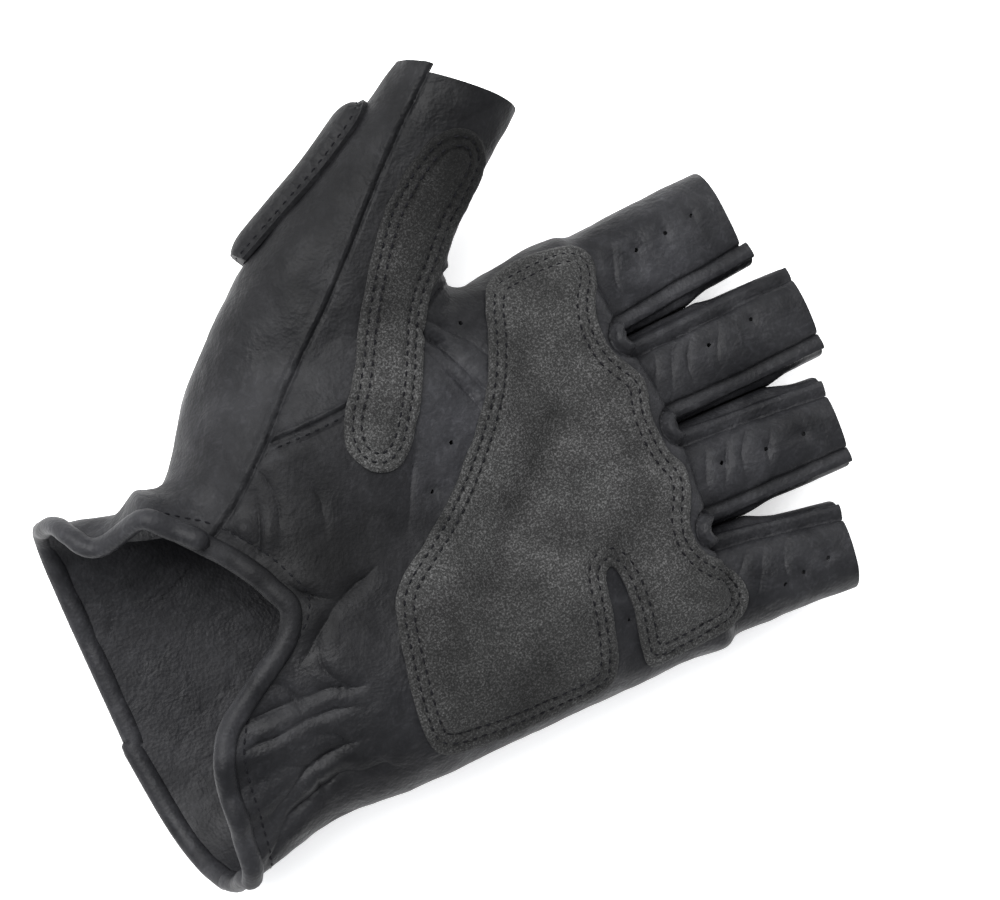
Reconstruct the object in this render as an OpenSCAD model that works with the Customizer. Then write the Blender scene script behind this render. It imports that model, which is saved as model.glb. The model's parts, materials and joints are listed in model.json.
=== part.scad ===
// Fingerless leather glove for the left hand, lying on its back with the palm up.
// +X runs from the cuff to the fingers, +Y to the thumb, +Z out of the palm.
// Every leather piece is a thin closed sheet; the hand space inside stays open.

/* [Hand] */
// Width of the palm at the knuckles
palm_w = 107; // [98:0.5:110]
// Thickness of the gloved hand at the knuckles
knuckle_h = 31; // [29:0.5:32]
// Thickness of the gloved hand at the heel of the palm
heel_h = 44; // [42:0.5:46]

/* [Finger stalls] */
// Length of the index stall, from its crotch to its open end
index_len = 35; // [28:1:42]
// Length of the middle stall
middle_len = 43; // [30:1:48]
// Length of the ring stall
ring_len = 38; // [30:1:46]
// Length of the little stall
little_len = 31; // [24:1:40]
// Height of a finger stall
stall_h = 25; // [23:0.5:25]

/* [Leather] */
// Thickness of the body leather
leather_t = 1.2; // [0.9:0.1:1.4]
// Thickness of the suede grip patches
patch_t = 1.2; // [0.8:0.1:1.6]
// Height of the padded panels on the back
pad_h = 4.6; // [3.5:0.1:4.6]
// Radius of the rolled cuff binding
binding_r = 2.2; // [1.6:0.1:2.6]

/* [Hidden] */

leather_colour = "#232428";
suede_colour = "#3a3a3a";
foam_colour = "#6b6b66";

box_centre = [0.1, 5.55, 0];    // centre of the glove's box, from the hand's own datum
seam = 0.35;                // gap between two sewn sheets that meet edge to edge
skin_gap = 0.6;             // gap below a sheet that is sewn on top of another
back_z = 5;                 // height of the back leather over the surface
ky = palm_w / 107;

// ---- sheets -------------------------------------------------------------

// Closed sheet between two grids of points. Rows run along the glove, and the
// points of a row run so that row direction x point direction points inwards.
// Cells for which kept(row, column) is false are left out.
module sheet(outer, inner, kept = function(i, j) true) {
    n = len(outer);
    m = len(outer[0]);
    o = function(i, j) i * m + j;
    s = function(i, j) n * m + i * m + j;
    has = function(i, j) i >= 0 && j >= 0 && i < n - 1 && j < m - 1 && kept(i, j);
    // two triangles that close the edge from point (i, j) to point (k, l)
    wall = function(i, j, k, l) [[o(i, j), s(i, j), s(k, l)], [o(i, j), s(k, l), o(k, l)]];
    polyhedron(
        points = [for (g = [outer, inner]) for (row = g) each row],
        faces = [for (i = [0 : n - 2]) for (j = [0 : m - 2]) if (has(i, j)) each [
            [o(i, j), o(i + 1, j), o(i + 1, j + 1)],
            [o(i, j), o(i + 1, j + 1), o(i, j + 1)],
            [s(i, j), s(i + 1, j + 1), s(i + 1, j)],
            [s(i, j), s(i, j + 1), s(i + 1, j + 1)],
            if (!has(i, j - 1)) each wall(i, j, i + 1, j),
            if (!has(i, j + 1)) each wall(i + 1, j + 1, i, j + 1),
            if (!has(i - 1, j)) each wall(i, j + 1, i, j),
            if (!has(i + 1, j)) each wall(i + 1, j, i + 1, j + 1)]]);
}

function steps(a, b, n) = [for (i = [0 : n]) a + (b - a) * i / n];
function bent(c, p) = sign(c) * pow(abs(c), p);
function col(table, x, k) = lookup(x, [for (r = table) [r[0], r[k]]]);

// ---- the hand tube ------------------------------------------------------

// x, little side, thumb side, thickness share from knuckle (0) to heel (1)
hand_rows = [
    [-98, -72, 23, 0.98], [-84, -72, 20, 0.95], [-70, -69, 17, 0.85], [-58, -67.5, 20, 0.85],
    [-45, -68.5, 27, 1], [-25, -69.5, 30, 1], [0, -70.5, 31, 0.85], [20, -71, 33, 0.6],
    [40, -72, 34.5, 0.22], [54, -72, 35, 0]];
palm_power = 0.8;   // roundness of the palm side of a section
back_power = 0.68;  // roundness of the back, which is flatter

function hand_half(x) = ky * (col(hand_rows, x, 2) - col(hand_rows, x, 1)) / 2;
function hand_mid(x) = ky * (col(hand_rows, x, 2) + col(hand_rows, x, 1)) / 2;
function hand_tall(x) = knuckle_h + (heel_h - knuckle_h) * col(hand_rows, x, 3);
// Point of the hand tube: angle 0 is the thumb side and 90 the palm; out > 0 is outside.
function hand_pt(x, a, out = 0) =
    let (p = sin(a) < 0 ? back_power : palm_power, h = hand_tall(x) / 2)
    [x, hand_mid(x) + (hand_half(x) + out) * bent(cos(a), p), back_z + h + (h + out) * bent(sin(a), p)];
// Angle on the palm side at which the tube is y across
function palm_angle(x, y) =
    acos(bent(max(-1, min(1, (ky * y - hand_mid(x)) / hand_half(x))), 1 / palm_power));

// Where the cuff's edge lies along X, by angle round the wrist
rim = [
    [-190, -82.5], [-135, -88.5], [-90, -94], [-50, -93.5], [-20, -92.5], [0, -90.5], [20, -87.5],
    [33, -83], [44, -71], [56, -61], [70, -55], [85, -51], [95, -55], [106, -69], [120, -77],
    [150, -81], [180, -83], [225, -88.5], [270, -94]];
// Where the finger crotches end the hand tube
tip = [
    [-180, 46.5], [-130, 48], [-110, 51], [110, 51], [130, 48], [180, 46.5], [230, 48], [250, 51],
    [270, 51]];
thumb_side_seam = -14;   // palm and back meet here below the index finger
little_side_seam = 192;  // and here on the little side
window_x = [-50, 12];    // the thumb leaves the hand tube between these
window_a = [-44, 46];    // and between these angles

// A panel of the hand tube with columns at the given angles, from the cuff's edge to the tip.
// marks(a) gives the x of the rows where the number of rows so far is counts.
module hand_sheet(angles, counts, marks, kept = function(i, j) true) {
    rows = [0 : counts[len(counts) - 1]];
    grid = function(out) [for (i = rows) [for (a = angles)
        hand_pt(lookup(i, [for (k = [0 : len(counts) - 1]) [counts[k], marks(a)[k]]]), a, out)]];
    sheet(grid(0), grid(-leather_t), kept);
}
// Where the leather starts: clear of the binding's tube, which runs along the rim
function cuff_x(a) =
    let (r = binding_r + 2 * seam, arc = 0.75)   // arc: millimetres of leather per degree
    max([for (d = [-4 : 0.5 : 4])
        if (abs(d) * arc < r) lookup(a + d, rim) + sqrt(r * r - pow(d * arc, 2))]);

// Sheet over the hand tube whose edges follow two angle tables by x
module hand_strip(xs, angle_low, angle_high, na, out, t) {
    grid = function(o) [for (x = xs) [for (a = steps(angle_low(x), angle_high(x), na)) hand_pt(x, a, o)]];
    sheet(grid(out + t), grid(out));
}

module palm_leather() {
    below = 5;    // columns below the index finger, beside the thumb's window
    angles = concat(steps(thumb_side_seam, window_a[1], below), [
        for (k = [1 : 26]) window_a[1] + (little_side_seam - window_a[1]) * k / 26]);
    counts = [0, 9, 12];   // rows up to the window's far edge and up to the tip
    color(leather_colour)
        hand_sheet(angles, counts, function(a) [cuff_x(a), window_x[1], lookup(a, tip)],
                   function(i, j) i >= counts[1] || j >= below);
}

module back_leather() {
    gap = 0.4;    // degrees kept off the seams
    flat = 14;    // columns up to the window's lower edge
    side = 3;     // columns from there to the seam below the index finger
    angles = concat(
        steps(little_side_seam + gap - 360, window_a[0], flat),
        [for (k = [1 : side]) window_a[0] + (thumb_side_seam - gap - window_a[0]) * k / side],
        [for (k = [1 : 6]) thumb_side_seam - gap + (window_a[1] - thumb_side_seam) * k / 6]);
    counts = [0, 4, 9, 12];   // rows up to the window, past it and up to the tip
    // under the thumb the back leather wraps round the wrist as far as the palm
    color(leather_colour)
        hand_sheet(angles, counts, function(a) [cuff_x(a), window_x[0], window_x[1], lookup(a, tip)],
                   function(i, j) i < counts[1] || j < flat || (i >= counts[2] && j < flat + side));
}

// ---- palm patch ---------------------------------------------------------

// x, thumb-side edge, little-side edge of the suede patch
patch_rows = [
    [-34, -54, -60], [-31, -38, -64], [-27, -26, -65], [-22, -22, -65.5], [-6, -12, -66.5],
    [9, 2, -66.5], [14, 9, -66], [15, 11, -45], [18, 16, -43], [22, 25, -43], [23, 28, -50],
    [24, 30, -66.5], [31, 31, -67], [44, 32, -67], [47, 30, -66]];

module palm_patch() {
    xs = [for (r = patch_rows) r[0]];
    color(suede_colour)
        hand_strip(xs,
                   function(x) palm_angle(x, col(patch_rows, x, 1)),
                   function(x) palm_angle(x, col(patch_rows, x, 2)),
                   14, skin_gap, patch_t);
}

// A thread laid along points of the hand tube, as a thin square-sided cord
module thread(points, r = 0.3) {
    n = len(points);
    sides = 4;
    ring = function(i)
        let (b = points[min(n - 1, i + 1)] - points[max(0, i - 1)],
             u = cross(b, [0, 0, 1]) / norm(cross(b, [0, 0, 1])),
             v = cross(b, u) / norm(cross(b, u)))
        [for (k = [0 : sides - 1]) points[i] + r * (u * cos(90 * k + 45) + v * sin(90 * k + 45))];
    polyhedron(
        points = [for (i = [0 : n - 1]) each ring(i)],
        faces = [
            [for (k = [0 : sides - 1]) k],
            for (i = [0 : n - 2]) for (k = [0 : sides - 1]) let (k2 = (k + 1) % sides) each [
                [i * sides + k, (i + 1) * sides + k, (i + 1) * sides + k2],
                [i * sides + k, (i + 1) * sides + k2, i * sides + k2]],
            [for (k = [sides - 1 : -1 : 0]) (n - 1) * sides + k]]);
}

module palm_patch_thread() {
    inset = 3;
    row = 2;   // distance between the two rows of stitches
    xs = steps(-30, 42, 24);
    out = skin_gap + patch_t + 0.55;
    color("black") for (k = [0, 1])
        thread([for (x = xs) hand_pt(x, palm_angle(x, col(patch_rows, x, 1) - inset - k * row), out)]);
}

// ---- webs between the fingers -------------------------------------------

web_at = [[52.4, 6.1], [52.6, -18.7], [49.6, -44.9]];   // crotch centres
web_r = 2.5;
module web(i) {
    low = back_z + 4.2;
    high = back_z + knuckle_h - 4.2;
    color(leather_colour)
        translate([web_at[i][0], ky * web_at[i][1], low])
            difference() {
                cylinder(r = web_r, h = high - low, $fn = 32);
                translate([0, 0, -1]) cylinder(r = web_r - leather_t, h = high - low + 2, $fn = 32);
                translate([0, -5, -1]) cube([10, 10, high - low + 2]);
            }
}

// ---- cuff ---------------------------------------------------------------

module cuff_binding() {
    n = 56;
    sides = 8;
    centre = function(i) let (a = -90 + 360 * i / n) hand_pt(lookup(a, rim), a, -leather_t / 2);
    ring = function(i)
        let (b = centre(i + 1) - centre(i - 1),
             mid = [centre(i)[0], hand_mid(-80), back_z + heel_h / 2],
             u = (centre(i) - mid) / norm(centre(i) - mid),
             v = cross(b, u) / norm(cross(b, u)),
             w = cross(v, b) / norm(cross(v, b)))
        [for (k = [0 : sides - 1])
            centre(i) + binding_r * (v * cos(360 * k / sides) + w * sin(360 * k / sides))];
    color("#1b1c1e") polyhedron(
        points = [for (i = [0 : n - 1]) each ring(i)],
        faces = [for (i = [0 : n - 1]) for (k = [0 : sides - 1])
            let (i2 = (i + 1) % n, k2 = (k + 1) % sides) each [
                [i * sides + k, i2 * sides + k2, i2 * sides + k],
                [i * sides + k, i * sides + k2, i2 * sides + k2]]]);
}

module wrist_elastic() {
    w = 8;
    t = 1;
    at = 18;   // distance from the cuff's edge
    as = steps(64, 150, 10);
    grid = function(out) [for (s = [0, 1]) [for (a = as) hand_pt(lookup(a, rim) + at + w * s, a, out)]];
    color("#1a1a1a") sheet(grid(-leather_t - skin_gap), grid(-leather_t - skin_gap - t));
}

// ---- padded panels on the back --------------------------------------------

module rounded(l, w, r) {
    translate([-l / 2 + r, -w / 2]) square([l - 2 * r, w]);
    translate([-l / 2, -w / 2 + r]) square([l, w - 2 * r]);
    for (x = [-1, 1]) for (y = [-1, 1])
        translate([x * (l / 2 - r), y * (w / 2 - r)]) circle(r = r, $fn = 48);
}

fit = 0.2;   // gap between a foam core and its cover
module pad_cover(l, w, h, r) {
    difference() {
        linear_extrude(h) rounded(l, w, r);
        translate([0, 0, leather_t]) linear_extrude(h)
            rounded(l - 2 * leather_t, w - 2 * leather_t, r - leather_t);
    }
}
module pad_foam(l, w, h, r) {
    inner = leather_t + fit;
    translate([0, 0, inner]) linear_extrude(h - inner) rounded(l - 2 * inner, w - 2 * inner, r - inner);
}

back_pad = [66, 62, 12];        // length, width and corner radius
back_pad_at = [2, -19];
module back_pad_cover() {
    color(leather_colour) translate([back_pad_at[0], ky * back_pad_at[1], 0])
        pad_cover(back_pad[0], back_pad[1], pad_h, back_pad[2]);
}
module back_pad_foam() {
    color(foam_colour) translate([back_pad_at[0], ky * back_pad_at[1], 0])
        pad_foam(back_pad[0], back_pad[1], pad_h, back_pad[2]);
}

// ---- finger stalls --------------------------------------------------------

// start of the stall, turn about Z, length, half widths at start and end
index_stall = [[53, 20.9], 2.6, index_len, 13.9, 13.2];
middle_stall = [[53.4, -6.3], 0, middle_len, 11.7, 11];
ring_stall = [[53.6, -31.9], -3.8, ring_len, 12.3, 11];
little_stall = [[51, -58.9], -8, little_len, 12.9, 10.8];

front_a = [38, 142];     // the palm-side leather of a stall
back_a = [218, 322];     // and its back
wall_gap = 1.6;          // degrees between a wall and the leather next to it

module at_stall(f) {
    translate([f[0][0], ky * f[0][1], back_z]) rotate([0, 0, f[1]]) children();
}
// Strip of a stall's tube between two angles, from its start to its end
module stall_sheet(f, a0, a1, n) {
    p = 0.85;
    grid = function(out) [for (s = [0, 0.35, 0.7, 1])
        let (w = ky * (f[3] + (f[4] - f[3]) * s) + out, h = stall_h / 2 * (1 - 0.08 * s) + out)
        [for (a = steps(a0, a1, n)) [f[2] * s, w * bent(cos(a), p), stall_h / 2 + h * bent(sin(a), p)]]];
    color(leather_colour) at_stall(f) sheet(grid(0), grid(-leather_t));
}
module stall_front(f) { stall_sheet(f, front_a[0], front_a[1], 8); }
module stall_back(f) { stall_sheet(f, back_a[0], back_a[1], 8); }
module thumb_side_wall(f) { stall_sheet(f, back_a[1] - 360 + wall_gap, front_a[0] - wall_gap, 5); }
module little_side_wall(f) { stall_sheet(f, front_a[1] + wall_gap, back_a[0] - wall_gap, 5); }

finger_pad = [22, 15, 5];   // length, width and corner radius
finger_pad_h = pad_h - 0.6;
finger_pad_x = 21;          // its middle, from the start of the stall
module at_finger_pad(f) {
    at_stall(f) translate([min(finger_pad_x, f[2] - finger_pad[0] / 2 - 1), 0, 0.2 - back_z]) children();
}
module finger_pad_cover(f) {
    color(leather_colour) at_finger_pad(f)
        pad_cover(finger_pad[0], finger_pad[1], finger_pad_h, finger_pad[2]);
}
module finger_pad_foam(f) {
    color(foam_colour) at_finger_pad(f)
        pad_foam(finger_pad[0], finger_pad[1], finger_pad_h, finger_pad[2]);
}

// ---- thumb ------------------------------------------------------------------

// Sections of the thumb tube: centre, half width vector towards the outer side, half height.
// The first one is the window in the hand tube.
thumb_rings = [
    [],
    [[-14, 39, 31], [-27, 8], 18.5],
    [[2.5, 51.5, 36], [-15.5, 13.5], 16.5],
    [[11.5, 57.5, 39], [-12.8, 11.7], 15.5],
    [[24.5, 67, 43.5], [-11, 10.8], 14.3],
    [[34.4, 73.9, 46.8], [-10.1, 11.1], 13.5]];
thumb_hinge_ring = 2;

// Point of a thumb section: angle 0 is the outer side and 90 the top
function window_pt(a, out) =
    let (r = max(abs(cos(a)), abs(sin(a))), inset = seam - out,
         mx = (window_x[0] + window_x[1]) / 2, hx = (window_x[1] - window_x[0]) / 2 - inset,
         ma = (window_a[0] + window_a[1]) / 2, ha = (window_a[1] - window_a[0]) / 2 - inset * 2)
    hand_pt(mx - hx * cos(a) / r, ma + ha * sin(a) / r);
function ring_pt(i, a, out) =
    let (p = thumb_rings[i], k = 1 + out / norm(p[1]))
    [p[0][0] + k * p[1][0] * bent(cos(a), 0.9), p[0][1] + k * p[1][1] * bent(cos(a), 0.9),
     p[0][2] + (p[2] + out) * bent(sin(a), 0.9)];
// Point of the thumb tube: u counts sections
function thumb_pt(u, a, out = 0) =
    let (i = min(len(thumb_rings) - 2, floor(u)), s = u - i)
    (i == 0 ? window_pt(a, out) : ring_pt(i, a, out)) * (1 - s) + ring_pt(i + 1, a, out) * s;

// Angle of the seam between the thumb's front and back leather, by ring
thumb_seam = [[0, 45], [1, 78], [2, 78], [3, 72], [4, 62], [5, 55]];
thumb_under = 222;   // the hidden seam under the thumb
module thumb_sheet(us, low, high, n, out = 0, t = leather_t) {
    grid = function(o) [for (u = us) [for (a = steps(low(u), high(u), n)) thumb_pt(u, a, o)]];
    sheet(grid(out), grid(out - t));
}
base_u = [0, 0.33, 0.66, 1, 1.5, thumb_hinge_ring - 0.03];
stall_u = [thumb_hinge_ring + 0.03, 2.5, 3, 3.5, 4, 4.5, 5];
seam_gap = 0.6;   // degrees on each side of a thumb seam
module thumb_front_part(us) {
    color(leather_colour)
        thumb_sheet(us, function(u) lookup(u, thumb_seam) + seam_gap,
                    function(u) thumb_under - seam_gap, 9);
}
module thumb_back_part(us) {
    color(leather_colour)
        thumb_sheet(us, function(u) thumb_under + seam_gap - 360,
                    function(u) lookup(u, thumb_seam) - seam_gap, 12);
}

// Edges of the suede strip over the thumb, by ring
thumb_patch_low = [[1.1, 98], [1.4, 94], [3.6, 90], [4.1, 96], [4.4, 112]];
thumb_patch_high = [[1.1, 140], [1.4, 150], [3.6, 172], [4.1, 165], [4.4, 145]];
patch_lower_u = [1.1, 1.5, thumb_hinge_ring - 0.03];
patch_upper_u = [thumb_hinge_ring + 0.03, 2.5, 3, 3.5, 4.1, 4.4];
module thumb_patch_part(us) {
    color(suede_colour) thumb_sheet(us, function(u) lookup(u, thumb_patch_low),
        function(u) lookup(u, thumb_patch_high), 6, skin_gap + patch_t, patch_t);
}

// Two rows of stitches along each long edge of the strip
module thumb_patch_thread() {
    out = skin_gap + patch_t + 0.4;
    us = steps(2.2, 4, 8);
    color("black") for (k = [7, 12]) {
        thread([for (u = us) thumb_pt(u, lookup(u, thumb_patch_low) + k, out)]);
        thread([for (u = us) thumb_pt(u, lookup(u, thumb_patch_high) - k, out)]);
    }
}

module thumb_pad_part(low, high) {
    grid = function(o) [for (u = [2.35, 2.7, 3, 3.5, 4, 4.35])
        [for (a = steps(-38, 30, 6)) thumb_pt(u, a, o * (u < 2.5 || u > 4.2 ? 0.75 : 1))]];
    sheet(grid(high), grid(low));
}
module thumb_pad_foam() { color(foam_colour) thumb_pad_part(skin_gap + 0.3, 4.4); }
module thumb_pad_cover() { color(leather_colour) thumb_pad_part(4.8, 4.8 + leather_t); }

// ---- nodes --------------------------------------------------------------------

translate(-box_centre) {
    palm_leather();
    back_leather();
    palm_patch();
    palm_patch_thread();
    web(0);  // web_index_middle
    web(1);  // web_middle_ring
    web(2);  // web_ring_little
    cuff_binding();
    wrist_elastic();
    back_pad_cover();
    back_pad_foam();
    thumb_front_part(base_u);  // thumb_base_front
    thumb_back_part(base_u);  // thumb_base_back
    thumb_patch_part(patch_lower_u);  // thumb_patch_lower
    thumb_front_part(stall_u);  // thumb_front
    thumb_back_part(stall_u);  // thumb_back
    thumb_patch_part(patch_upper_u);  // thumb_patch_upper
    thumb_patch_thread();
    thumb_pad_cover();
    thumb_pad_foam();
    // the index stall has no wall on its thumb side, and the little stall none on its outer side
    stall_sheet(index_stall, -20, front_a[1], 12);  // index_front
    stall_sheet(index_stall, back_a[0], 340 - wall_gap, 10);  // index_back
    little_side_wall(index_stall);  // index_inner_wall
    finger_pad_cover(index_stall);  // index_pad_cover
    finger_pad_foam(index_stall);  // index_pad_foam
    stall_front(middle_stall);  // middle_front
    stall_back(middle_stall);  // middle_back
    thumb_side_wall(middle_stall);  // middle_outer_wall
    little_side_wall(middle_stall);  // middle_inner_wall
    finger_pad_cover(middle_stall);  // middle_pad_cover
    finger_pad_foam(middle_stall);  // middle_pad_foam
    stall_front(ring_stall);  // ring_front
    stall_back(ring_stall);  // ring_back
    thumb_side_wall(ring_stall);  // ring_outer_wall
    little_side_wall(ring_stall);  // ring_inner_wall
    finger_pad_cover(ring_stall);  // ring_pad_cover
    finger_pad_foam(ring_stall);  // ring_pad_foam
    stall_sheet(little_stall, front_a[0], 200, 12);  // little_front
    stall_sheet(little_stall, 200 + wall_gap, back_a[1], 10);  // little_back
    thumb_side_wall(little_stall);  // little_outer_wall
    finger_pad_cover(little_stall);  // little_pad_cover
    finger_pad_foam(little_stall);  // little_pad_foam
}
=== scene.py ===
"""Looks of a fingerless leather glove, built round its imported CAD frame.

The leather is one skin, meshed from a distance field of the gloved hand. It is cut along its seams
into panels, which keep their shared edges, and each panel becomes a closed shell of leather.
Patches, pads, stitches and the cuff's binding then lie on that leather.
Lengths are millimetres from the hand's datum until a mesh is made, and metres after that."""

import json
import math

import bpy
import numpy as np
from mathutils import Matrix, Vector


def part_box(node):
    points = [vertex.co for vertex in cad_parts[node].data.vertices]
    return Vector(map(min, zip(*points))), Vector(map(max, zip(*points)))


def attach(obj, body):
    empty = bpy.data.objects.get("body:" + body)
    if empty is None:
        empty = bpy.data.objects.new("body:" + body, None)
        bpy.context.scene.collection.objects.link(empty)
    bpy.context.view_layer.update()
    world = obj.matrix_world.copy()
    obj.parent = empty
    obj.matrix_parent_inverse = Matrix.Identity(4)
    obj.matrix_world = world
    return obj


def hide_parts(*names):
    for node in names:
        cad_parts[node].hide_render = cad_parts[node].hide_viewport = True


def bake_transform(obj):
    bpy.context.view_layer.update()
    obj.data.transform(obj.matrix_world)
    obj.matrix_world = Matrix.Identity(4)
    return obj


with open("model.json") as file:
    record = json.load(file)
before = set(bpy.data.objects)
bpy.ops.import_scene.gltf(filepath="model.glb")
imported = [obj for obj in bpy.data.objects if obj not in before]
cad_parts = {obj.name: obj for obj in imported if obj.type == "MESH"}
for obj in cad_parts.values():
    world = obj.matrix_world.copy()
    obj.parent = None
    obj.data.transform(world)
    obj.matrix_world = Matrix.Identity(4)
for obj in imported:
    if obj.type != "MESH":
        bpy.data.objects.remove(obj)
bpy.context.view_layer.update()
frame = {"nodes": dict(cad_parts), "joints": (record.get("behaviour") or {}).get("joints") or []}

MM = 0.001
joints = {j["name"]: j for j in frame["joints"]}
MIDDLE_HINGE = np.array([53.4, -6.3, 30.0])     # from the hand's datum
DATUM = np.array(joints["middle_flex"]["pos_m"]) / MM - MIDDLE_HINGE


def to_frame(points):
    """Millimetres from the hand's datum to metres in the row frame."""
    return (np.asarray(points, float) + DATUM) * MM


# ---- camera, floor and light ----

ROLL = math.radians(25)
TILT = math.radians(10)
TARGET = np.array([13.05, -6.09, 25.0])
DISTANCE = 600.0


def make_camera():
    """A long lens over the palm, turned by ROLL and leaning by TILT."""
    cr, sr, ct, st = math.cos(ROLL), math.sin(ROLL), math.cos(TILT), math.sin(TILT)
    right = np.array([cr * ct, -sr, cr * st])
    up = np.array([sr * ct, cr, sr * st])
    ahead = np.array([st, 0, -ct])
    place = to_frame(TARGET - DISTANCE * ahead)
    data = bpy.data.cameras.new("camera")
    data.lens = 90
    data.sensor_width = 36
    cam = bpy.data.objects.new("camera", data)
    bpy.context.scene.collection.objects.link(cam)
    turn = Matrix([[right[k], up[k], -ahead[k]] for k in range(3)]).to_4x4()
    cam.matrix_world = Matrix.Translation(Vector(place)) @ turn
    bpy.context.scene.camera = cam


def area_light(name, place, aim, size, power):
    """A square lamp turned towards a point."""
    data = bpy.data.lights.new(name, "AREA")
    data.size = size
    data.energy = power
    lamp = bpy.data.objects.new(name, data)
    lamp.location = place
    lamp.rotation_euler = (Vector(aim) - Vector(place)).to_track_quat("-Z", "Y").to_euler()
    bpy.context.scene.collection.objects.link(lamp)


def make_stage():
    """A pale floor, a soft studio world and two soft lamps."""
    bpy.ops.mesh.primitive_plane_add(size=6, location=(0, 0, -0.0002))
    floor = bpy.context.object
    floor.name = "floor"
    mat = bpy.data.materials.new("pale_floor")
    mat.use_nodes = True
    shader = mat.node_tree.nodes["Principled BSDF"]
    for socket, value in (("Base Color", (0.95, 0.95, 0.95, 1)), ("Roughness", 0.8),
                          ("Emission Color", (1, 1, 1, 1)), ("Emission Strength", 0.5)):
        shader.inputs[socket].default_value = value
    floor.data.materials.append(mat)
    world = bpy.data.worlds.new("studio")
    world.use_nodes = True
    tree = world.node_tree
    place = tree.nodes.new("ShaderNodeTexCoord")
    split = tree.nodes.new("ShaderNodeSeparateXYZ")
    ramp = tree.nodes.new("ShaderNodeValToRGB")
    ramp.color_ramp.elements[0].color = (0.85, 0.86, 0.88, 1)     # round the horizon
    ramp.color_ramp.elements[1].color = (0.36, 0.37, 0.39, 1)     # overhead
    tree.links.new(place.outputs["Generated"], split.inputs[0])
    tree.links.new(split.outputs["Z"], ramp.inputs["Fac"])
    tree.links.new(ramp.outputs["Color"], tree.nodes["Background"].inputs["Color"])
    bpy.context.scene.world = world
    area_light("key", (-0.3, 0.45, 0.95), (0, 0, 0.02), 0.9, 23)
    area_light("side", (0.75, 0.3, 0.55), (0, 0, 0.02), 0.6, 3)
    bpy.context.scene.view_settings.view_transform = "Standard"


# ---- small numeric tools ----


def smooth_table(x, table, column=1):
    """A smooth curve through the rows of a table, by its first column."""
    xs = np.array([r[0] for r in table], float)
    ys = np.array([r[column] for r in table], float)
    slope = np.gradient(ys, xs)
    x = np.clip(x, xs[0], xs[-1])
    i = np.clip(np.searchsorted(xs, x) - 1, 0, len(xs) - 2)
    h = xs[i + 1] - xs[i]
    t = (x - xs[i]) / h
    a, b = ys[i], ys[i + 1]
    ma, mb = slope[i] * h, slope[i + 1] * h
    ends = (2 * t**3 - 3 * t**2 + 1) * a + (t**3 - 2 * t**2 + t) * ma
    return ends + (3 * t**2 - 2 * t**3) * b + (t**3 - t**2) * mb


def smin(a, b, k):
    """Smooth union of two distances."""
    h = np.clip(0.5 + 0.5 * (b - a) / k, 0, 1)
    return b + (a - b) * h - k * h * (1 - h)


def smax(a, b, k):
    return -smin(-a, -b, k)


def ease(a, b, x):
    """0 before a, 1 after b, smooth between."""
    t = np.clip((x - a) / (b - a), 0, 1)
    return t * t * (3 - 2 * t)


def bell(x, width):
    return np.exp(-((x / width) ** 2))


def unit(vectors):
    """The same rows, one long."""
    return vectors / np.maximum(np.linalg.norm(vectors, axis=1), 1e-9)[:, None]


def run_length(points):
    """Distance along a row of points at each of them."""
    return np.concatenate([[0], np.cumsum(np.linalg.norm(np.diff(points, axis=0), axis=1))])


def resampled(at, run, columns):
    """A row's values, one column after another, at other distances along it."""
    return np.stack([np.interp(at, run, column) for column in columns.T], 1)


def oval(a, b, w, h, n, c=0.0):
    """About the distance to a superellipse of half sizes w and h, or to a dome where c isn't zero."""
    qa, qb, qc = np.abs(a) / w + 1e-4, np.abs(b) / h + 1e-4, np.abs(c) / h
    rho = (qa**n + qb**n + qc**n) ** (1 / n)
    steep = (qa ** (n - 1) / w) ** 2 + (qb ** (n - 1) / h) ** 2 + (qc ** (n - 1) / h) ** 2
    return (rho - 1) / (np.sqrt(steep) / rho ** (n - 1))


def noise(p, size, seed):
    """Smooth random field from -1 to 1 with lumps of the given size, the same in every run."""
    q = np.asarray(p, float) / size
    i = np.floor(q).astype(np.int64)
    f = q - i
    f = f * f * (3 - 2 * f)
    total = 0
    for c in range(8):
        o = np.array([c & 1, c >> 1 & 1, c >> 2 & 1])
        k = i + o
        n = (k[..., 0] * 73856093) ^ (k[..., 1] * 19349663) ^ (k[..., 2] * 83492791) ^ (seed * 9176)
        n = ((n ^ (n >> 13)) * 1274126177) & 0xFFFFFFFF
        n = ((n ^ (n >> 15)) * 2246822519) & 0xFFFFFFFF
        w = np.prod(np.where(o == 1, f, 1 - f), axis=-1)
        total = total + w * (n / 2**31 - 1)
    return total


def rounded(points, closed=True, times=3):
    """Corner cutting: turns a few chosen points into a smooth outline."""
    p = np.array(points, float)
    for _ in range(times):
        q = np.roll(p, -1, 0) if closed else p[1:]
        a = p if closed else p[:-1]
        cut = np.stack([0.75 * a + 0.25 * q, 0.25 * a + 0.75 * q], 1).reshape(-1, p.shape[1])
        p = cut if closed else np.vstack([p[:1], cut, p[-1:]])
    return p


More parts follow.
